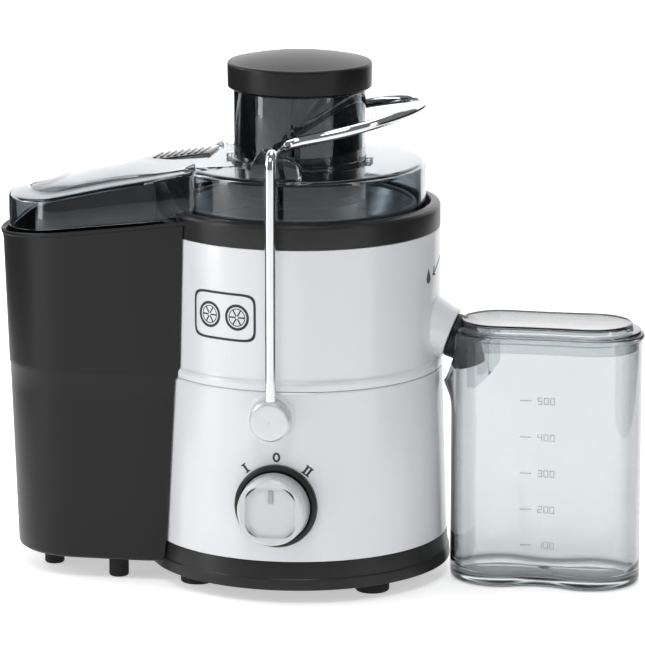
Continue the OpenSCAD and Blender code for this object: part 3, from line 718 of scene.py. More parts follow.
class JUICER_OT_dial(Builder, bpy.types.Operator):
    """Builds the bezel, the speed dial with its recessed pad and the printed positions"""
    bl_idname = "juicer.dial"
    bl_label = "Speed dial"

    def build(self, size):
        low, high = box_mm("dial_bezel")
        x, z = (low.x + high.x) / 2, (low.z + high.z) / 2
        r = (high.x - low.x) / 2 - 0.5
        turned("dial_bezel_ring", [
            (4.4, -4), (r, -4), (r, -1.2), (r - 0.9, 0), (r - 2.6, 0), (r - 3.2, -1.1), (4.4, -1.1)],
            "black", "base", "trim_black", "dial_bezel", 0.3, 144, facing(x, low.y, z))
        low, high = box_mm("speed_knob")
        r, deep = (high.x - low.x) / 2, high.y - low.y
        body = lathe(mm((0.4, 0), (r - 0.4, 0), (r - 0.2, 0.4), (r - 0.8, deep - 3.0), (r - 1.3, deep - 0.9),
                        (r - 2.5, deep), (r - 4.2, deep)))
        rim = [v for v in body.verts if abs(Vector(v.co.xy).length - (r - 4.2) * MM) < 2e-6]
        squareness = 3.6
        for reach, sunk in ((14.4, 0.0), (14.1, 0.3), (13.7, 1.3), (13.2, 1.8)):
            line = [e for e in body.edges if all(v in rim for v in e.verts)]
            grown = bmesh.ops.extrude_edge_only(body, edges=line)["geom"]
            rim = [g for g in grown if isinstance(g, bmesh.types.BMVert)]
            for vert in rim:
                a = atan2(vert.co.y, vert.co.x)
                away = reach / (abs(cos(a)) ** squareness + abs(sin(a)) ** squareness) ** (1 / squareness)
                vert.co = Vector((cos(a) * away, sin(a) * away, deep - sunk)) * MM
        bmesh.ops.contextual_create(body, geom=[e for e in body.edges if all(v in rim for v in e.verts)])
        moved(body, facing(x, high.y, z))
        piece("speed_knob_moulded", body, "dial", "knob", "speed_knob", smooth=30)
        pointer = block(x, low.y + 1.6, z + 8.7, 2.9, 1.0, 7.4, 0.45)
        piece("dial_pointer", pointer, "grey_ink", "knob")
        self.positions(x, z)

    def positions(self, x, z):
        """The printed I, 0 and II round the bezel."""
        marks = [("one", -17.7, 20.3, 40), ("off", 0, 27.4, 0), ("two", 17.3, 19.9, -38)]
        meshes = []
        for kind, dx, dz, lean in marks:
            if kind == "off":
                meshes.append(oval(x + dx, z + dz, 2.15, 2.75, 1.15))
                continue
            bars, wide = ([0], 2.9) if kind == "one" else ([-1.2, 1.2], 5.0)
            parts = [(b, 0, 1.3, 4.6) for b in bars] + [(0, v, wide, 0.75) for v in (-2.3, 2.3)]
            turn = Matrix.Rotation(radians(lean), 2)
            for u, v, across, up in parts:
                at = turn @ Vector((u, v))
                meshes.append(stroke(x + dx + at.x, z + dz + at.y, across, up, lean))
        piece("dial_marks", wrap(merged(*meshes), housing_radius), "ink", "base")


def housing_radius(z):
    """The housings' radius at a height, in millimetres."""
    lower, upper = box_mm("lower_housing"), box_mm("upper_housing")
    if z < lower[1].z:
        t = (z - lower[0].z) / (lower[1].z - lower[0].z)
        return lower[1].x - HOUSING_TAPER * t
    return upper[1].y - SEAM_BEAD


def stroke(u, v, wide, high, turn=0.0):
    """A flat printed bar, laid out as (along, 0, up) in millimetres."""
    bm = bmesh.new()
    bmesh.ops.create_grid(bm, x_segments=max(1, int(wide)), y_segments=max(1, int(high)), size=0.5)
    bmesh.ops.scale(bm, vec=(wide, high, 1), verts=bm.verts)
    bmesh.ops.rotate(bm, cent=(0, 0, 0), matrix=Matrix.Rotation(radians(turn), 3, "Z"), verts=bm.verts)
    return laid(bm, u, v)


def oval(u, v, wide, high, thick, steps=40):
    """A flat printed oval ring."""
    bm = bmesh.new()
    outer = bmesh.ops.create_circle(bm, segments=steps, radius=1.0)["verts"]
    inner = bmesh.ops.create_circle(bm, segments=steps, radius=1.0)["verts"]
    bmesh.ops.scale(bm, vec=(wide, high, 1), verts=outer)
    bmesh.ops.scale(bm, vec=(wide - thick, high - thick, 1), verts=inner)
    bmesh.ops.bridge_loops(bm, edges=bm.edges[:])
    return laid(bm, u, v)


def laid(bm, u, v):
    """Moves a flat shape to its place on the developed surface."""
    bmesh.ops.translate(bm, vec=(u, v, 0), verts=bm.verts)
    return bm


def wrap(bm, radius_at):
    """Lays a flat print, drawn in millimetres, on the front of an upright round wall and thickens it."""
    for vert in bm.verts:
        u, v = vert.co.x, vert.co.y
        r = radius_at(v)
        vert.co = Vector((r * sin(u / r), -r * cos(u / r), v)) * MM
    bmesh.ops.recalc_face_normals(bm, faces=bm.faces)
    for face in bm.faces:
        out = face.calc_center_median()
        if face.normal.dot(Vector((out.x, out.y, 0))) < 0:
            face.normal_flip()
    bmesh.ops.solidify(bm, geom=bm.faces[:], thickness=-sizes().print_depth)
    return bm


class JUICER_OT_marks(Builder, bpy.types.Operator):
    """Prints the outlet symbol and a plain citrus mark on the housing"""
    bl_idname = "juicer.marks"
    bl_label = "Housing marks"

    def build(self, size):
        u, v = 105.5, 174.3
        bm = bmesh.new()
        drop = bmesh.ops.create_circle(bm, segments=40, radius=2.6, cap_ends=True)["verts"]
        for vert in drop:
            if vert.co.y > 0:
                vert.co.x *= 1 - 0.9 * (vert.co.y / 2.6) ** 1.4
                vert.co.y *= 2.4
        arrow = [stroke(u + 15, v + 5.0, 19, 1.0, 24), stroke(u + 8.4, v + 3.6, 5.0, 1.1, 66),
                 stroke(u + 8.8, v + 1.2, 5.0, 1.1, -12)]
        symbol = merged(laid(bm, u, v), *arrow)
        piece("outlet_symbol", wrap(symbol, housing_radius), "ink", "base")
        u, v = -29.5, 160.5
        meshes = [frame_mark(u, v, 20.4, 13.6, 1.35)]
        r = 7.4
        for du in (-9.0, 9.0):
            meshes += [oval(u + du, v, r, r, 1.5), oval(u + du, v, r - 2.3, r - 2.3, 0.5)]
            meshes += [stroke(u + du + 2.9 * cos(radians(a)), v + 2.9 * sin(radians(a)), 4.2, 0.8, a)
                       for a in range(0, 360, 60)]
        piece("citrus_mark", wrap(merged(*meshes), housing_radius), "ink", "base")


def frame_mark(u, v, wide, high, thick):
    """A flat printed outline of a rounded rectangle."""
    bm = bmesh.new()
    squareness = 7
    for grow in (0, thick):
        ring = bmesh.ops.create_circle(bm, segments=96, radius=1.0)["verts"]
        for vert in ring:
            a = atan2(vert.co.y, vert.co.x)
            across, up = abs(cos(a) / (wide - grow)), abs(sin(a) / (high - grow))
            away = (across ** squareness + up ** squareness) ** (-1 / squareness)
            vert.co = Vector((cos(a) * away, sin(a) * away, 0))
    bmesh.ops.bridge_loops(bm, edges=bm.edges[:])
    return laid(bm, u, v)


# ---------------------------------------------------------------- locking bar

PIVOT_X = 1.2


class JUICER_OT_bar(Builder, bpy.types.Operator):
    """Builds the chrome locking bar and the silver pivot caps"""
    bl_idname = "juicer.bar"
    bl_label = "Locking bar"

    def build(self, size):
        low, high = box_mm("locking_arm")
        r = 3.0 if high.y < 92 else -low.x
        leg = high.y - r
        top, elbow, turn, loop, centre, slant = 254.0, 8.0, 12.0, 55.5, 15.0, radians(13)
        half = [(0, -leg, low.z)] + [(0, -leg, low.z + (top - elbow - low.z) * i / 10) for i in range(1, 11)]
        half += [(0, y, z) for y, z in arc((-leg + elbow, top - elbow), elbow, 180, 90, 12)[1:]]
        flat = [(0.0, -loop - turn)]
        flat += arc((turn, -loop - turn), turn, 180, 90, 14)[1:]
        flat += arc((centre, 0), loop, -90, 0, 40)
        half += [(x * cos(slant), y, top + x * sin(slant)) for x, y in flat]
        far_side = [(x, -y, z) for x, y, z in reversed(half[:-1])]
        path = [(x + PIVOT_X, y, z) for x, y, z in half + far_side]
        piece("locking_bar", sweep(path, r, 40), "chrome", "arm", "locking_arm", smooth=50)
        for node, back in (("front_pivot_cap", False), ("rear_pivot_cap", True)):
            low, high = box_mm(node)
            r, deep = (high.x - low.x) / 2 + 0.7, high.y - low.y
            turned(node + "_turned", [(0.2, -deep), (r, -deep), (r, -1.6), (r - 1.1, -0.2), (r - 2.0, 0),
                                      (0.2, 0.25)],
                   "silver", "arm", "silver_caps", node, 0.4, 96,
                   facing(PIVOT_X, high.y if back else low.y, (low.z + high.z) / 2 - 0.7, back))


# ---------------------------------------------------------------- spinning parts

class JUICER_OT_basket(Builder, bpy.types.Operator):
    """Builds the steel filter basket with its rim"""
    bl_idname = "juicer.basket"
    bl_label = "Filter basket"

    def build(self, size):
        low, high = box_mm("filter_basket")
        r, base = high.x, 48.0
        turned("filter_basket_spun", [
            (10.4, low.z), (base, low.z), (r, high.z - 0.5), (r - 0.7, high.z), (base - 0.9, low.z + 1.2),
            (13.6, low.z + 1.2), (13.2, low.z + 12.4), (12.6, low.z + 13), (10.4, low.z + 13)],
            "steel", "spinner", "steel", "filter_basket", 0.5)
        low, high = box_mm("basket_rim")
        r = high.x
        turned("basket_rim_spun", [(r - 1.9, low.z), (r - 0.4, low.z), (r, low.z + 1), (r, high.z - 0.8),
                                   (r - 0.8, high.z), (r - 2.3, high.z)],
               "bowl", "spinner", "bowl_white", "basket_rim", 0.3)


# ---------------------------------------------------------------- lid and pusher

COVER_NEAR = -52.0      # where the cover meets the drum
COVER_HALF = 55.4       # half its width, which passes inside the bin's walls
COVER_FALL = 0.2254     # slope of its top, away from the drum
RIM_FALL = 0.1157       # slope of the bin's rim and of the cover's foot
JUNCTION = 133.9        # half the angle that the drum's wall spans, in degrees
CHUTE_HOLE = 37.3


def cover_top(x, y, inset):
    """Height of the cover's outer face, falling away from the drum, rounded near its edge."""
    high = box_mm("lid_shell")[1].z
    away = COVER_NEAR - x
    slope = max(0.0, away) * COVER_FALL
    crown = sizes().dome / MM * smoothstep(0, 50, away) * max(0.0, 1 - (y / 60) ** 2)
    edge = 2.2
    drop = edge - sqrt(edge * edge - (edge - min(edge, inset)) ** 2) if inset < edge else 0.0
    step = 0.7 * smoothstep(12.2, 13.2, inset)
    return high - slope + crown - drop * 0.8 - 0.7 + step


def cover_outline(inset):
    """The cover seen from above, from the front junction round the far end to the rear junction."""
    low, high = box_mm("bin_cover")
    far, half, round_r = low.x, high.y + 2.8, 44.6
    places = [COVER_NEAR - 66 * i / 20 for i in range(21)]
    front = [(x, -(half - 6.5 * smoothstep(-85, -50, x))) for x in places]
    middle = far + round_r
    end = arc((middle, -(half - round_r)), round_r, 270, 180, 16)
    line = [p for p in front if p[0] > middle + 1] + end
    line = line + [(x, -y) for x, y in reversed(line)]
    out = []
    for i, (x, y) in enumerate(line):
        a, b = Vector(line[max(0, i - 1)]), Vector(line[min(len(line) - 1, i + 1)])
        along = (b - a).normalized()
        side = Vector((-along.y, along.x))
        if side.dot(Vector((-105, 0)) - Vector((x, y))) < 0:
            side.negate()
        if i in (0, len(line) - 1):
            side = Vector((0, -1 if y > 0 else 1))
        spot = Vector((x, y)) + side * inset
        limit = COVER_HALF - inset
        spot.y = max(-limit, min(limit, spot.y))
        out.append(spot)
    return out


class JUICER_OT_lid(Builder, bpy.types.Operator):
    """Builds the clear lid with the bin cover, its grip pad, the saddles and the feed chute"""
    bl_idname = "juicer.lid"
    bl_label = "Lid and chute"

    def build(self, size):
        high = box_mm("lid_shell")[1]
        self.posts(high.z)
        skin = merged(self.drum(high.x, high.z), self.cover(high.z))
        lid = piece("lid_shell_moulded", skin, "smoke", "lid",
                    ("lid_shell", "lid_deck", "bin_cover"), smooth=50)
        wall(lid, size.lid_wall).modifiers["Wall"].use_even_offset = False
        self.grip_pad()
        self.chute(high.z)
        self.saddles()

    def drum(self, r, top):
        """The drum's skin, open on the side of the bin."""
        bm = profile_mesh(rounded(mm((CHUTE_HOLE, top), (r, top), (r, 207.6)), 0.0035, 6))
        moved(bm, Matrix.Rotation(radians(-JUNCTION), 4, "Z"))
        bmesh.ops.spin(bm, geom=bm.verts[:] + bm.edges[:], cent=(0, 0, 0), axis=UP,
                       angle=radians(2 * JUNCTION), steps=120, use_merge=False)
        return bm

    def cover(self, top):
        """The cover's skin: up its wall, over the edge and across to the chute's hole."""
        rim, inner = cover_outline(0), cover_outline(13.2)
        rings = [[(p.x, p.y, 210.6 + (p.x - COVER_NEAR) * RIM_FALL) for p in rim]]
        for inset in (0.0, 0.25, 0.7, 1.3, 2.2, 5.0, 9.0, 12.2, 12.7, 13.2):
            rings.append([(p.x, p.y, cover_top(p.x, p.y, inset)) for p in cover_outline(inset)])
        steps = len(rim) - 1
        chord = [Vector((COVER_NEAR, -38.9 + 77.8 * i / steps)) for i in range(steps + 1)]
        for t in (0.2, 0.4, 0.6, 0.8, 1.0):
            spots = [p.lerp(q, t) for p, q in zip(inner, chord)]
            rings.append([(spot.x, spot.y, cover_top(spot.x, spot.y, 30)) for spot in spots])
        turns = [radians(-JUNCTION - (360 - 2 * JUNCTION) * i / steps) for i in range(steps + 1)]
        rings.append([(CHUTE_HOLE * cos(a), CHUTE_HOLE * sin(a), top) for a in turns])
        return loft(rings, closed=False)

    def posts(self, top):
        """The two round posts under the junction of the drum and the cover."""
        posts = []
        for side in (-1, 1):
            bm = lathe(mm((0.1, 208.2), (2.4, 208.2), (2.4, top - 3.2), (1.4, top - 2.4), (0.1, top - 2.4)),
                       32, closed=True)
            posts.append(shifted(bm, -50.6, side * 50.9, 0))
        piece("lid_posts", merged(*posts), "smoke", "lid")

    def grip_pad(self):
        """The ribbed pad on the cover, leaning with its slope."""
        x, y = -71, 14
        z = cover_top(x, y, 30)
        pad = block(x, y, z + 0.4, 38, 27, 1.6, 0.7)
        ribs = [block(x - 14 + 4 * i, y, z + 1.3, 2.0, 20, 1.0, 0.4) for i in range(8)]
        ribbed = merged(pad, *ribs)
        bmesh.ops.rotate(ribbed, cent=Vector((x, y, z)) * MM, matrix=Matrix.Rotation(radians(-8.5), 3, "Y"),
                         verts=ribbed.verts)
        piece("cover_grip_pad", ribbed, "dark_smoke", "lid")

    def chute(self, top):
        """The feed chute with its flange and two side tabs."""
        low, high = box_mm("feed_chute")
        r = 37.1
        tube = lathe(mm((r - 2, low.z), (r, low.z), (r, high.z - 0.6), (r - 0.7, high.z), (r - 2, high.z)),
                     144, 0.0005, closed=True)
        flange = lathe(mm((r, top), (r + 1.7, top), (r + 1.7, top + 1.7), (r + 1.1, top + 2.3),
                          (r, top + 2.4)), 144, 0.0004, closed=True)
        tabs = [block(side * (r + 2.2), 0, top + 1.2, 4.6, 8, 2.3, 0.6) for side in (-1, 1)]
        piece("feed_chute_moulded", merged(tube, flange, *tabs), "smoke", "lid", "feed_chute")

    def saddles(self):
        """The two humps on the lid that the locking bar lies over."""
        low, high = box_mm("latch_saddles")
        rise = high.z - low.z
        meshes = []
        for s in (-1, 1):
            outline = [(-15, -0.5), (-14.6, rise * 0.55), (-12.5, rise * 0.9), (-9.5, rise + 2.6),
                       (-5.4, rise + 2.8), (-4.4, rise + 0.4), (-3, rise - 0.6), (3, rise - 0.6),
                       (8.5, rise - 2), (11.6, rise - 5), (12.6, -0.5)]
            ends = [[(x, s * 62 + y, low.z + z) for x, z in outline] for y in (-5, 5)]
            bm = loft(ends, cap_first=True, cap_last=True)
            bmesh.ops.bevel(bm, geom=bm.edges[:], offset=0.0011, segments=3, profile=0.5,
                            affect="EDGES", material=-1)
            meshes.append(bm)
        piece("latch_saddles_moulded", merged(*meshes), "smoke", "lid", "latch_saddles",
              smooth=35)


class JUICER_OT_pusher(Builder, bpy.types.Operator):
    """Builds the pusher's black domed cap and its clear tube"""
    bl_idname = "juicer.pusher"
    bl_label = "Food pusher"

    def build(self, size):
        low, high = box_mm("pusher_cap")
        r = high.x
        rise, top = 5.2, high.z - 1.4
        crown = (r * r + rise ** 2) / (2 * rise)
        dome = [(x, top - crown + sqrt(crown ** 2 - x ** 2)) for x in (38, 35, 31, 26, 20, 14, 8, 3)]
        turned("pusher_cap_moulded", [
            (35.1, low.z + 0.6), (r - 0.8, low.z), (r - 0.2, low.z + 0.6), (r, low.z + 13.0),
            (r - 0.2, low.z + 13.8), (r - 0.9, low.z + 14.4), *dome, (0.2, top), (0.2, high.z - 4),
            (35.1, high.z - 8)], "satin", "pusher", "satin_black", "pusher_cap", 0.35)
        low, high = box_mm("pusher_tube")
        r = high.x
        turned("pusher_tube_moulded", [
            (0.2, low.z), (r - 1.5, low.z), (r, low.z + 1.5), (r, high.z), (r - 2, high.z),
            (r - 2, low.z + 3.4), (r - 3, low.z + 2.4), (0.2, low.z + 2.4)],
            "dark_smoke", "pusher", "smoke_clear", "pusher_tube", 0.4)


# ---------------------------------------------------------------- pulp bin

BIN_FAR, BIN_HALF, BIN_CORNER = -168, 62, 48


def bin_edge(z):
    """Radius of the bin's hollow side at a height, a small gap outside the base ring and the housing."""
    gap = 1.2
    ring = 87.0 - gap - 0.12 * max(0, z - 8) if z < 26 else 0
    shell = housing_radius(z) if z >= 24 else 83.9
    return gap + max(ring, shell)


def bin_ring(z, inset=0.0, count=40):
    """The bin's outline at a height: round the far end, then back along the housing."""
    low, high = box_mm("pulp_bin")
    rise = (z - low.z) / (high.z + 4 - low.z)
    draft = 7 * (1 - rise) + inset
    far, half, round_r = BIN_FAR + draft, BIN_HALF - draft, BIN_CORNER - draft
    hollow = bin_edge(z) + inset
    middle = far + round_r

    def side(x):
        return half - 3.5 * smoothstep(-85, -52, x)

    x = COVER_NEAR
    for _ in range(12):
        x = -sqrt(max(1.0, hollow ** 2 - side(x) ** 2))
    start = Vector((x, -side(x)))
    front = []
    for i in range(count // 2 + 1):
        t = i / (count // 2)
        fx = start.x + (middle - start.x) * t
        front.append((fx, -side(fx)))
    end = arc((middle, -(half - round_r)), round_r, 270, 180, count // 2)
    line = front + end[1:]
    line = line + [(px, -py) for px, py in reversed(line)]
    angle = degrees(atan2(start.y, start.x)) % 360
    hollow_arc = arc((0, 0), hollow, 360 - angle, angle, count)[1:-1]
    return [(px, py, z) for px, py in line + hollow_arc]


class JUICER_OT_bin(Builder, bpy.types.Operator):
    """Builds the satin black pulp bin with its feet"""
    bl_idname = "juicer.bin"
    bl_label = "Pulp bin"

    def build(self, size):
        low, high = box_mm("pulp_bin")
        rings = []
        for z, inset in ((low.z - 2, 3.0), (low.z - 1.65, 1.6), (low.z - 0.8, 0.5), (low.z + 0.6, 0.0)):
            rings.append(bin_ring(z, inset))
        step_low, step_high, step_out = 118.4, 119.6, 0.45
        for z in (26.5, 45, 65, 85, 105, step_low, step_high, 122, 126.5, 135, 150, 165, 180, 190):
            rings.append(bin_ring(z, -step_out * smoothstep(step_low, step_high, z)))

        def rim_height(x):
            return high.z + 0.4 + (x - COVER_NEAR) * RIM_FALL

        for drop, grow in ((2.6, 0.0), (2.0, 0.7), (0.5, 0.75), (0.0, 0.3)):
            ring = bin_ring(high.z - 4, -step_out - grow)
            rings.append([(x, y, rim_height(x) - drop) for x, y, _ in ring])
        made = piece("pulp_bin_moulded", loft(rings, cap_first=True), "satin", "bin",
                     "pulp_bin", smooth=35)
        wall(made, 0.0022)
        feet = []
        for x, y in ((-97, 41), (-97, -41), (-140, 20), (-140, -20)):
            bm = lathe(mm((0.1, 0), (4.8, 0), (5.6, 0.8), (5.6, low.z - 1.9), (0.1, low.z - 1.9)),
                       48, 0.0003, closed=True)
            feet.append(shifted(bm, x, y, 0))
        piece("bin_feet_moulded", merged(*feet), "rubber", "bin", "bin_feet")


# ---------------------------------------------------------------- juice jug

JUG_NEAR, JUG_SPAN, JUG_R, JUG_WAIST = 87.5, 51.0, 28.5, 23.0
SCALE_STEP = 21         # height of 100 ml


def jug_waist(z):
    """Radius of the waist's arc at a height, and how far its centre lies from the jug's middle."""
    depth = JUG_WAIST + (JUG_R - 0.7 - JUG_WAIST) * smoothstep(-20, 128, z)
    bend = ((JUG_SPAN / 2) ** 2 + depth ** 2 - JUG_R ** 2) / (2 * (JUG_R - depth))
    return bend, depth + bend


def jug_plan(inset, z=144):
    """The jug's two-lobed outline seen from above at a height, in millimetres."""
    first, half = JUG_NEAR + JUG_R, JUG_SPAN / 2
    bend, reach = jug_waist(z)
    t = degrees(atan2(reach, half))
    lobe, waist, mid = JUG_R - inset, bend + inset, first + half
    line = arc((first + JUG_SPAN, 0), lobe, t - 180, 180 - t, 44)[:-1]
    line += arc((mid, reach), waist, 360 - t, 180 + t, 20)[:-1]
    line += arc((first, 0), lobe, t, 360 - t, 72)[:-1]
    line += arc((mid, -reach), waist, 180 - t, t, 20)[:-1]
    return line


def jug_ring(height, inset, bead=0.0):
    """The wall at a fraction of its height: the mouth's columns end lower and lean out as the beak."""
    top = box_mm("juice_jug")[1].z
    ring = []
    for (x, y), (bx, by) in zip(jug_plan(inset, height), jug_plan(inset - bead, height)):
        limit, out = top, 0.0
        if x < JUG_NEAR + 14 and abs(y) < 18:
            limit = min(top, 113 + 31 * (abs(y) / 17.5) ** 2.2)
            out = 4.6 * max(0.0, 1 - abs(y) / 13) ** 0.8
        z = 60 + (height - 60) * (limit - 60) / (top - 60) if height > 60 else height
        full = smoothstep(top - 14, top - 1, limit)
        px, py = x + (bx - x) * full, y + (by - y) * full
        ring.append((px - out * smoothstep(100, 113, z), py, z))
    return ring


class JUICER_OT_jug(Builder, bpy.types.Operator):
    """Builds the clear two-lobed jug with its thick floor, pouring beak and printed scale"""
    bl_idname = "juicer.jug"
    bl_label = "Juice jug"

    def build(self, size):
        top = box_mm("juice_jug")[1].z
        skin = size.jug_wall / MM
        rings = [[(x, y, z) for x, y in jug_plan(inset, z)] for inset, z in
                 ((5.0, 0.5), (4.2, 0.0), (2.6, 0.0), (1.0, 0.7), (0.2, 2.2))]
        rings += [jug_ring(z, 0) for z in (4, 30, 60, 80, 95, 108, 118, 126, 134, 139, top - 3.4)]
        bead = ((top - 2.9, 0.9), (top - 2.2, 1.2), (top - 0.7, 1.2), (top, 0.6))
        rings += [jug_ring(z, 0, out) for z, out in bead]
        rings += [jug_ring(top, skin - 0.4), jug_ring(top - 0.6, skin)]
        rings += [jug_ring(z, skin) for z in (top - 3.4, 134, 126, 118, 108, 95, 80, 60, 30, 14)]
        rings += [[(x, y, z) for x, y in jug_plan(skin + d, z)] for d, z in
                  ((0.4, 9.5), (1.4, 7.2), (3.2, 5.6), (5.6, 5.0), (9.0, 4.8))]
        piece("juice_jug_moulded", loft(rings, cap_first=True, cap_last=True), "jug", "jug",
              "juice_jug", smooth=50)
        middle = JUG_NEAR + JUG_R + JUG_SPAN / 2
        self.scale(size, middle)
        dimple = lathe(mm((0.1, 4.8), (3.6, 4.8), (3.2, 5.3), (2.4, 5.5), (1.6, 5.2), (0.1, 5.1)),
                       48, closed=True)
        piece("jug_gate_mark", shifted(dimple, middle, 0, 0), "dark_smoke", "jug")

    def scale(self, size, middle):
        """The printed lines and numerals, laid on the front wall and thickened."""
        meshes = []
        for i in range(1, 6):
            v = 4 + SCALE_STEP * i
            meshes.append(stroke(middle - 7.5, v, 6.5, 0.5))
            for k, name in enumerate((str(i), "0", "0")):
                meshes += digit(name, middle + 0.5 + 3.5 * k, v, 2.2, 3.6)
        scale = merged(*meshes)
        for vert in scale.verts:
            x, z = vert.co.x, vert.co.y
            vert.co = Vector((x, -jug_front(x, z) - 0.03, z)) * MM
        bmesh.ops.recalc_face_normals(scale, faces=scale.faces)
        for face in scale.faces:
            if face.normal.y > 0:
                face.normal_flip()
        bmesh.ops.solidify(scale, geom=scale.faces[:], thickness=-size.print_depth)
        piece("jug_scale", scale, "grey_ink", "jug")


def jug_front(x, z):
    """How far the jug's front wall stands out at a point, in millimetres."""
    first, half = JUG_NEAR + JUG_R, JUG_SPAN / 2
    bend, reach = jug_waist(z)
    away = abs(x - first - half)
    if away < half * bend / (JUG_R + bend):
        return reach - sqrt(bend ** 2 - away ** 2)
    return sqrt(max(0.0, JUG_R ** 2 - (half - away) ** 2))


DIGIT_BARS = {"0": "abcdef", "1": "bc", "2": "abged", "3": "abgcd", "4": "fgbc", "5": "afgcd"}


def digit(name, u, v, wide, high):
    """A numeral built of straight bars about its middle."""
    w, h, t = wide / 2, high / 2, 0.42
    places = {"a": (0, h), "g": (0, 0), "d": (0, -h), "b": (w, h / 2), "c": (w, -h / 2),
              "f": (-w, h / 2), "e": (-w, -h / 2)}
    out = []
    for bar in DIGIT_BARS[name]:
        across, up = (wide, t) if bar in "agd" else (t, h + t)
        out.append(stroke(u + places[bar][0], v + places[bar][1], across, up))
    return out


class JUICER_OT_jug_lid(Builder, bpy.types.Operator):
    """Builds the jug's clear inset lid with its notch at the outlet"""
    bl_idname = "juicer.jug_lid"
    bl_label = "Jug lid"

    def build(self, size):
        low, high = box_mm("jug_lid")
        seat = box_mm("juice_jug")[1].z + 0.1
        levels = [(2.8, low.z), (2.7, seat - 0.4), (0.7, seat - 0.1), (0.5, seat + 0.8), (0.9, seat + 1.7),
                  (4.6, seat + 1.9), (5.0, seat + 2.4), (5.2, high.z - 0.8), (5.9, high.z), (7.0, high.z),
                  (7.4, high.z - 0.5), (8.2, high.z - 0.6)]
        skin = loft([[(x, y, z) for x, y in jug_plan(inset)] for inset, z in levels], cap_last=True)
        cut = Vector((low.x, 0, 0)) * MM
        bmesh.ops.bisect_plane(skin, geom=skin.verts[:] + skin.edges[:] + skin.faces[:], plane_co=cut,
                               plane_no=(1, 0, 0), clear_inner=True)
        made = piece("jug_lid_moulded", skin, "jug", "jug_cover", "jug_lid", smooth=35)
        wall(made, 0.0016)
        top = high.z - 2.4
        side = [(99.5, 113.0), (103.5, 112.6), (111.0, 120.0), (112.4, 121.4)]
        foot = [(x, -17.0, z) for x, z in side] + [(x, 17.0, z) for x, z in reversed(side)]
        skin = loft([foot, [(x, y, top) for x, y, _ in foot]], closed=False)
        pocket = piece("froth_pocket", skin, "jug", "jug_cover", "froth_separator", smooth=20)
        wall(pocket, 0.0014)


# ---------------------------------------------------------------- pieces that keep the frame's form

class JUICER_OT_finishes(Builder, bpy.types.Operator):
    """Gives the frame pieces that stay in view their own finishes"""
    bl_idname = "juicer.finishes"
    bl_label = "Inner finishes"

    def build(self, size):
        table = {
            "black": ["cord_gland"],
            "satin": ["bottom_plate", "lid_switch", "drive_coupling", "brush_holders"],
            "rubber": ["shaft_seal", "motor_dampers"],
            "pearl": ["speed_switch", "terminal_block"],
            "bowl": ["juice_bowl", "cooling_fan"],
            "steel": ["motor_shaft", "grater_disc", "knob_spindle", "pivot_pins", "upper_bearing",
                      "lower_bearing"],
            "zinc": ["bottom_screws", "motor_deck", "upper_bracket", "lower_bracket", "motor_screws",
                     "pin_clips"],
            "iron": ["motor_stator", "rotor_core"],
            "copper": ["field_coils", "commutator"],
        }
        for name, nodes in table.items():
            for node in nodes:
                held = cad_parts[node]
                held.data.materials.clear()
                held.data.materials.append(finish(name))


# ---------------------------------------------------------------- stage

LAMPS = [  # name, place, width and height in metres, watts
    ("edge", (-1.5, 0.15, 0.9), (0.3, 1.2), 8),
    ("key", (-1.6, -0.9, 0.8), (0.35, 1.7), 12),
    ("front", (0.1, -1.6, 2.6), (1.2, 0.8), 22),
    ("fill", (1.7, -0.9, 0.8), (0.25, 1.5), 4),
    ("crown", (0.0, 0.4, 1.9), (1.0, 1.0), 9),
]
LAMP_AIM = Vector((0, 0, 0.13))
CAMERA_PLACE, CAMERA_DOWN, CAMERA_RIGHT, CAMERA_LENS = (0.5107, -2.5604, 0.7098), 12.2657, 11, 262.7


def sheet(bm, cells, half, move=Matrix.Identity(4)):
    """Adds a flat square grid, moved by a matrix."""
    verts = bmesh.ops.create_grid(bm, x_segments=cells, y_segments=cells, size=half)["verts"]
    bmesh.ops.transform(bm, matrix=move, verts=verts)
    return bm


def set_out(name, bm, shader, height=0.0, unseen_by=()):
    """Puts a mesh of the stage in the scene, unseen by the kinds of rays named."""
    made = bpy.data.objects.new(name, bpy.data.meshes.new(name))
    bm.to_mesh(made.data)
    bm.free()
    made.data.materials.append(shader.material)
    made.location.z = height
    for rays in unseen_by:
        setattr(made, "visible_" + rays, False)
    bpy.context.collection.objects.link(made)


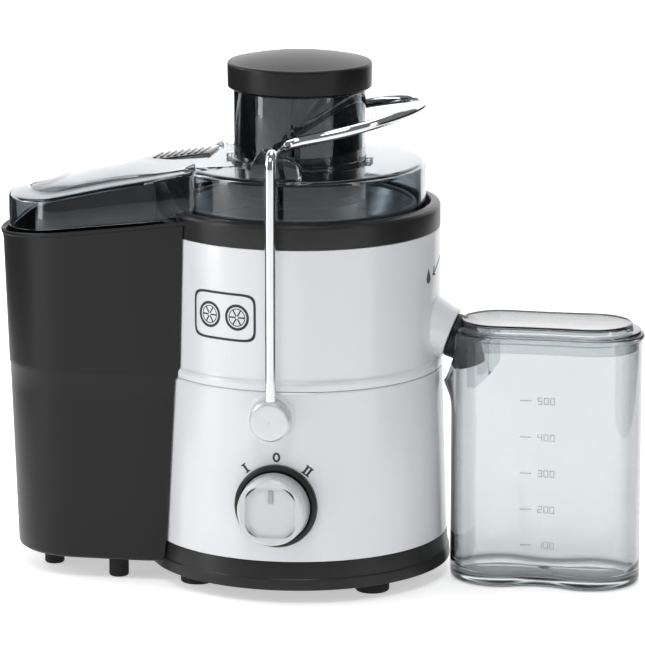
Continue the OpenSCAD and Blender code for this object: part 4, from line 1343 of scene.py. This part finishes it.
class JUICER_OT_stage(Builder, bpy.types.Operator):
    """Sets the pale floor, the soft lights and the camera"""
    bl_idname = "juicer.stage"
    bl_label = "Stage"

    def build(self, size):
        self.floor()
        self.cards()
        self.lamps()
        self.camera()

    def floor(self):
        """The pale floor, and the dim daylight all round."""
        paper = Shader("pale_paper", Specular_IOR_Level=0.25, Emission_Strength=0.5)
        tooth = paper.noise(30.0, 3.0)
        paper.set("Base Color", paper.mix(tooth, (0.93, 0.93, 0.93), (0.95, 0.95, 0.95)))
        paper.set("Roughness", 0.62 + tooth * 0.1)
        paper.set("Emission Color", (1.0, 1.0, 1.0))
        set_out("floor", sheet(bmesh.new(), 8, 6.0), paper, height=-0.0002)
        scene = bpy.context.scene
        scene.world = scene.world or bpy.data.worlds.new("studio")
        scene.world.use_nodes = True
        back = scene.world.node_tree.nodes["Background"]
        back.inputs["Color"].default_value = (0.93, 0.96, 1.0, 1)
        back.inputs["Strength"].default_value = 0.22

    def cards(self):
        """The lit backdrop, and two low black cards that draw the edges of the clear parts."""
        upright = Matrix.Translation((0, 2.6, 1.0)) @ Matrix.Rotation(pi / 2, 4, "X")
        glow = Shader("lit_backdrop", Base_Color=(0.8, 0.8, 0.8), Roughness=0.9, Emission_Strength=1.0)
        glow.set("Emission Color", (1.0, 1.0, 1.0))
        set_out("backdrop", sheet(bmesh.new(), 2, 3.0, upright), glow, unseen_by=("camera",))
        flags = bmesh.new()
        for side in (-1, 1):
            edge_on = Matrix.Translation((side * 0.55, 0.45, 0.14)) @ Matrix.Rotation(pi / 2, 4, "Y")
            sheet(flags, 1, 0.5, edge_on @ Matrix.Diagonal((0.28, 1.3, 1, 1)))
        felt = Shader("black_felt", Base_Color=(0.01, 0.01, 0.01), Roughness=0.95)
        set_out("flags", flags, felt, unseen_by=("shadow", "camera"))

    def lamps(self):
        for name, place, (wide, high), power in LAMPS:
            light = bpy.data.lights.new(name, "AREA")
            light.shape = "RECTANGLE"
            light.size, light.size_y, light.energy = wide, high, power
            lamp = bpy.data.objects.new(name, light)
            lamp.location = place
            lamp.rotation_euler = (LAMP_AIM - Vector(place)).to_track_quat("-Z", "Y").to_euler()
            bpy.context.collection.objects.link(lamp)

    def camera(self):
        scene = bpy.context.scene
        scene.view_settings.view_transform = "Standard"
        camera = bpy.data.objects.new("camera", bpy.data.cameras.new("camera"))
        camera.data.lens, camera.data.sensor_width = CAMERA_LENS, 36.0
        camera.data.clip_end = 20.0
        camera.location = CAMERA_PLACE
        camera.rotation_euler = (radians(90 - CAMERA_DOWN), 0, radians(CAMERA_RIGHT))
        bpy.context.collection.objects.link(camera)
        scene.camera = camera


# ---------------------------------------------------------------- add-on

PIECES = [
    JUICER_OT_base, JUICER_OT_housings, JUICER_OT_nozzle, JUICER_OT_dial, JUICER_OT_marks, JUICER_OT_bar,
    JUICER_OT_basket, JUICER_OT_lid, JUICER_OT_pusher, JUICER_OT_bin, JUICER_OT_jug, JUICER_OT_jug_lid,
    JUICER_OT_finishes, JUICER_OT_stage,
]


class JUICER_PT_sidebar(bpy.types.Panel):
    """Lists the juicer's pieces and their settings"""
    bl_label = "Centrifugal juicer"
    bl_idname = "JUICER_PT_sidebar"
    bl_space_type = "VIEW_3D"
    bl_region_type = "UI"
    bl_category = "Juicer"

    def draw(self, context):
        layout = self.layout
        for group in (context.scene.juicer_sizes, context.scene.juicer_colours):
            for name in group.__annotations__:
                layout.prop(group, name)
        for operator in PIECES:
            layout.operator(operator.bl_idname)


CLASSES = [JuicerSizes, JuicerColours, *PIECES, JUICER_PT_sidebar]


def register():
    for cls in CLASSES:
        bpy.utils.register_class(cls)
    bpy.types.Scene.juicer_sizes = PointerProperty(type=JuicerSizes)
    bpy.types.Scene.juicer_colours = PointerProperty(type=JuicerColours)


def unregister():
    del bpy.types.Scene.juicer_colours
    del bpy.types.Scene.juicer_sizes
    for cls in reversed(CLASSES):
        bpy.utils.unregister_class(cls)


def main():
    register()
    for operator in PIECES:
        group, name = operator.bl_idname.split(".")
        getattr(getattr(bpy.ops, group), name)()


if __name__ == "__main__":
    main()
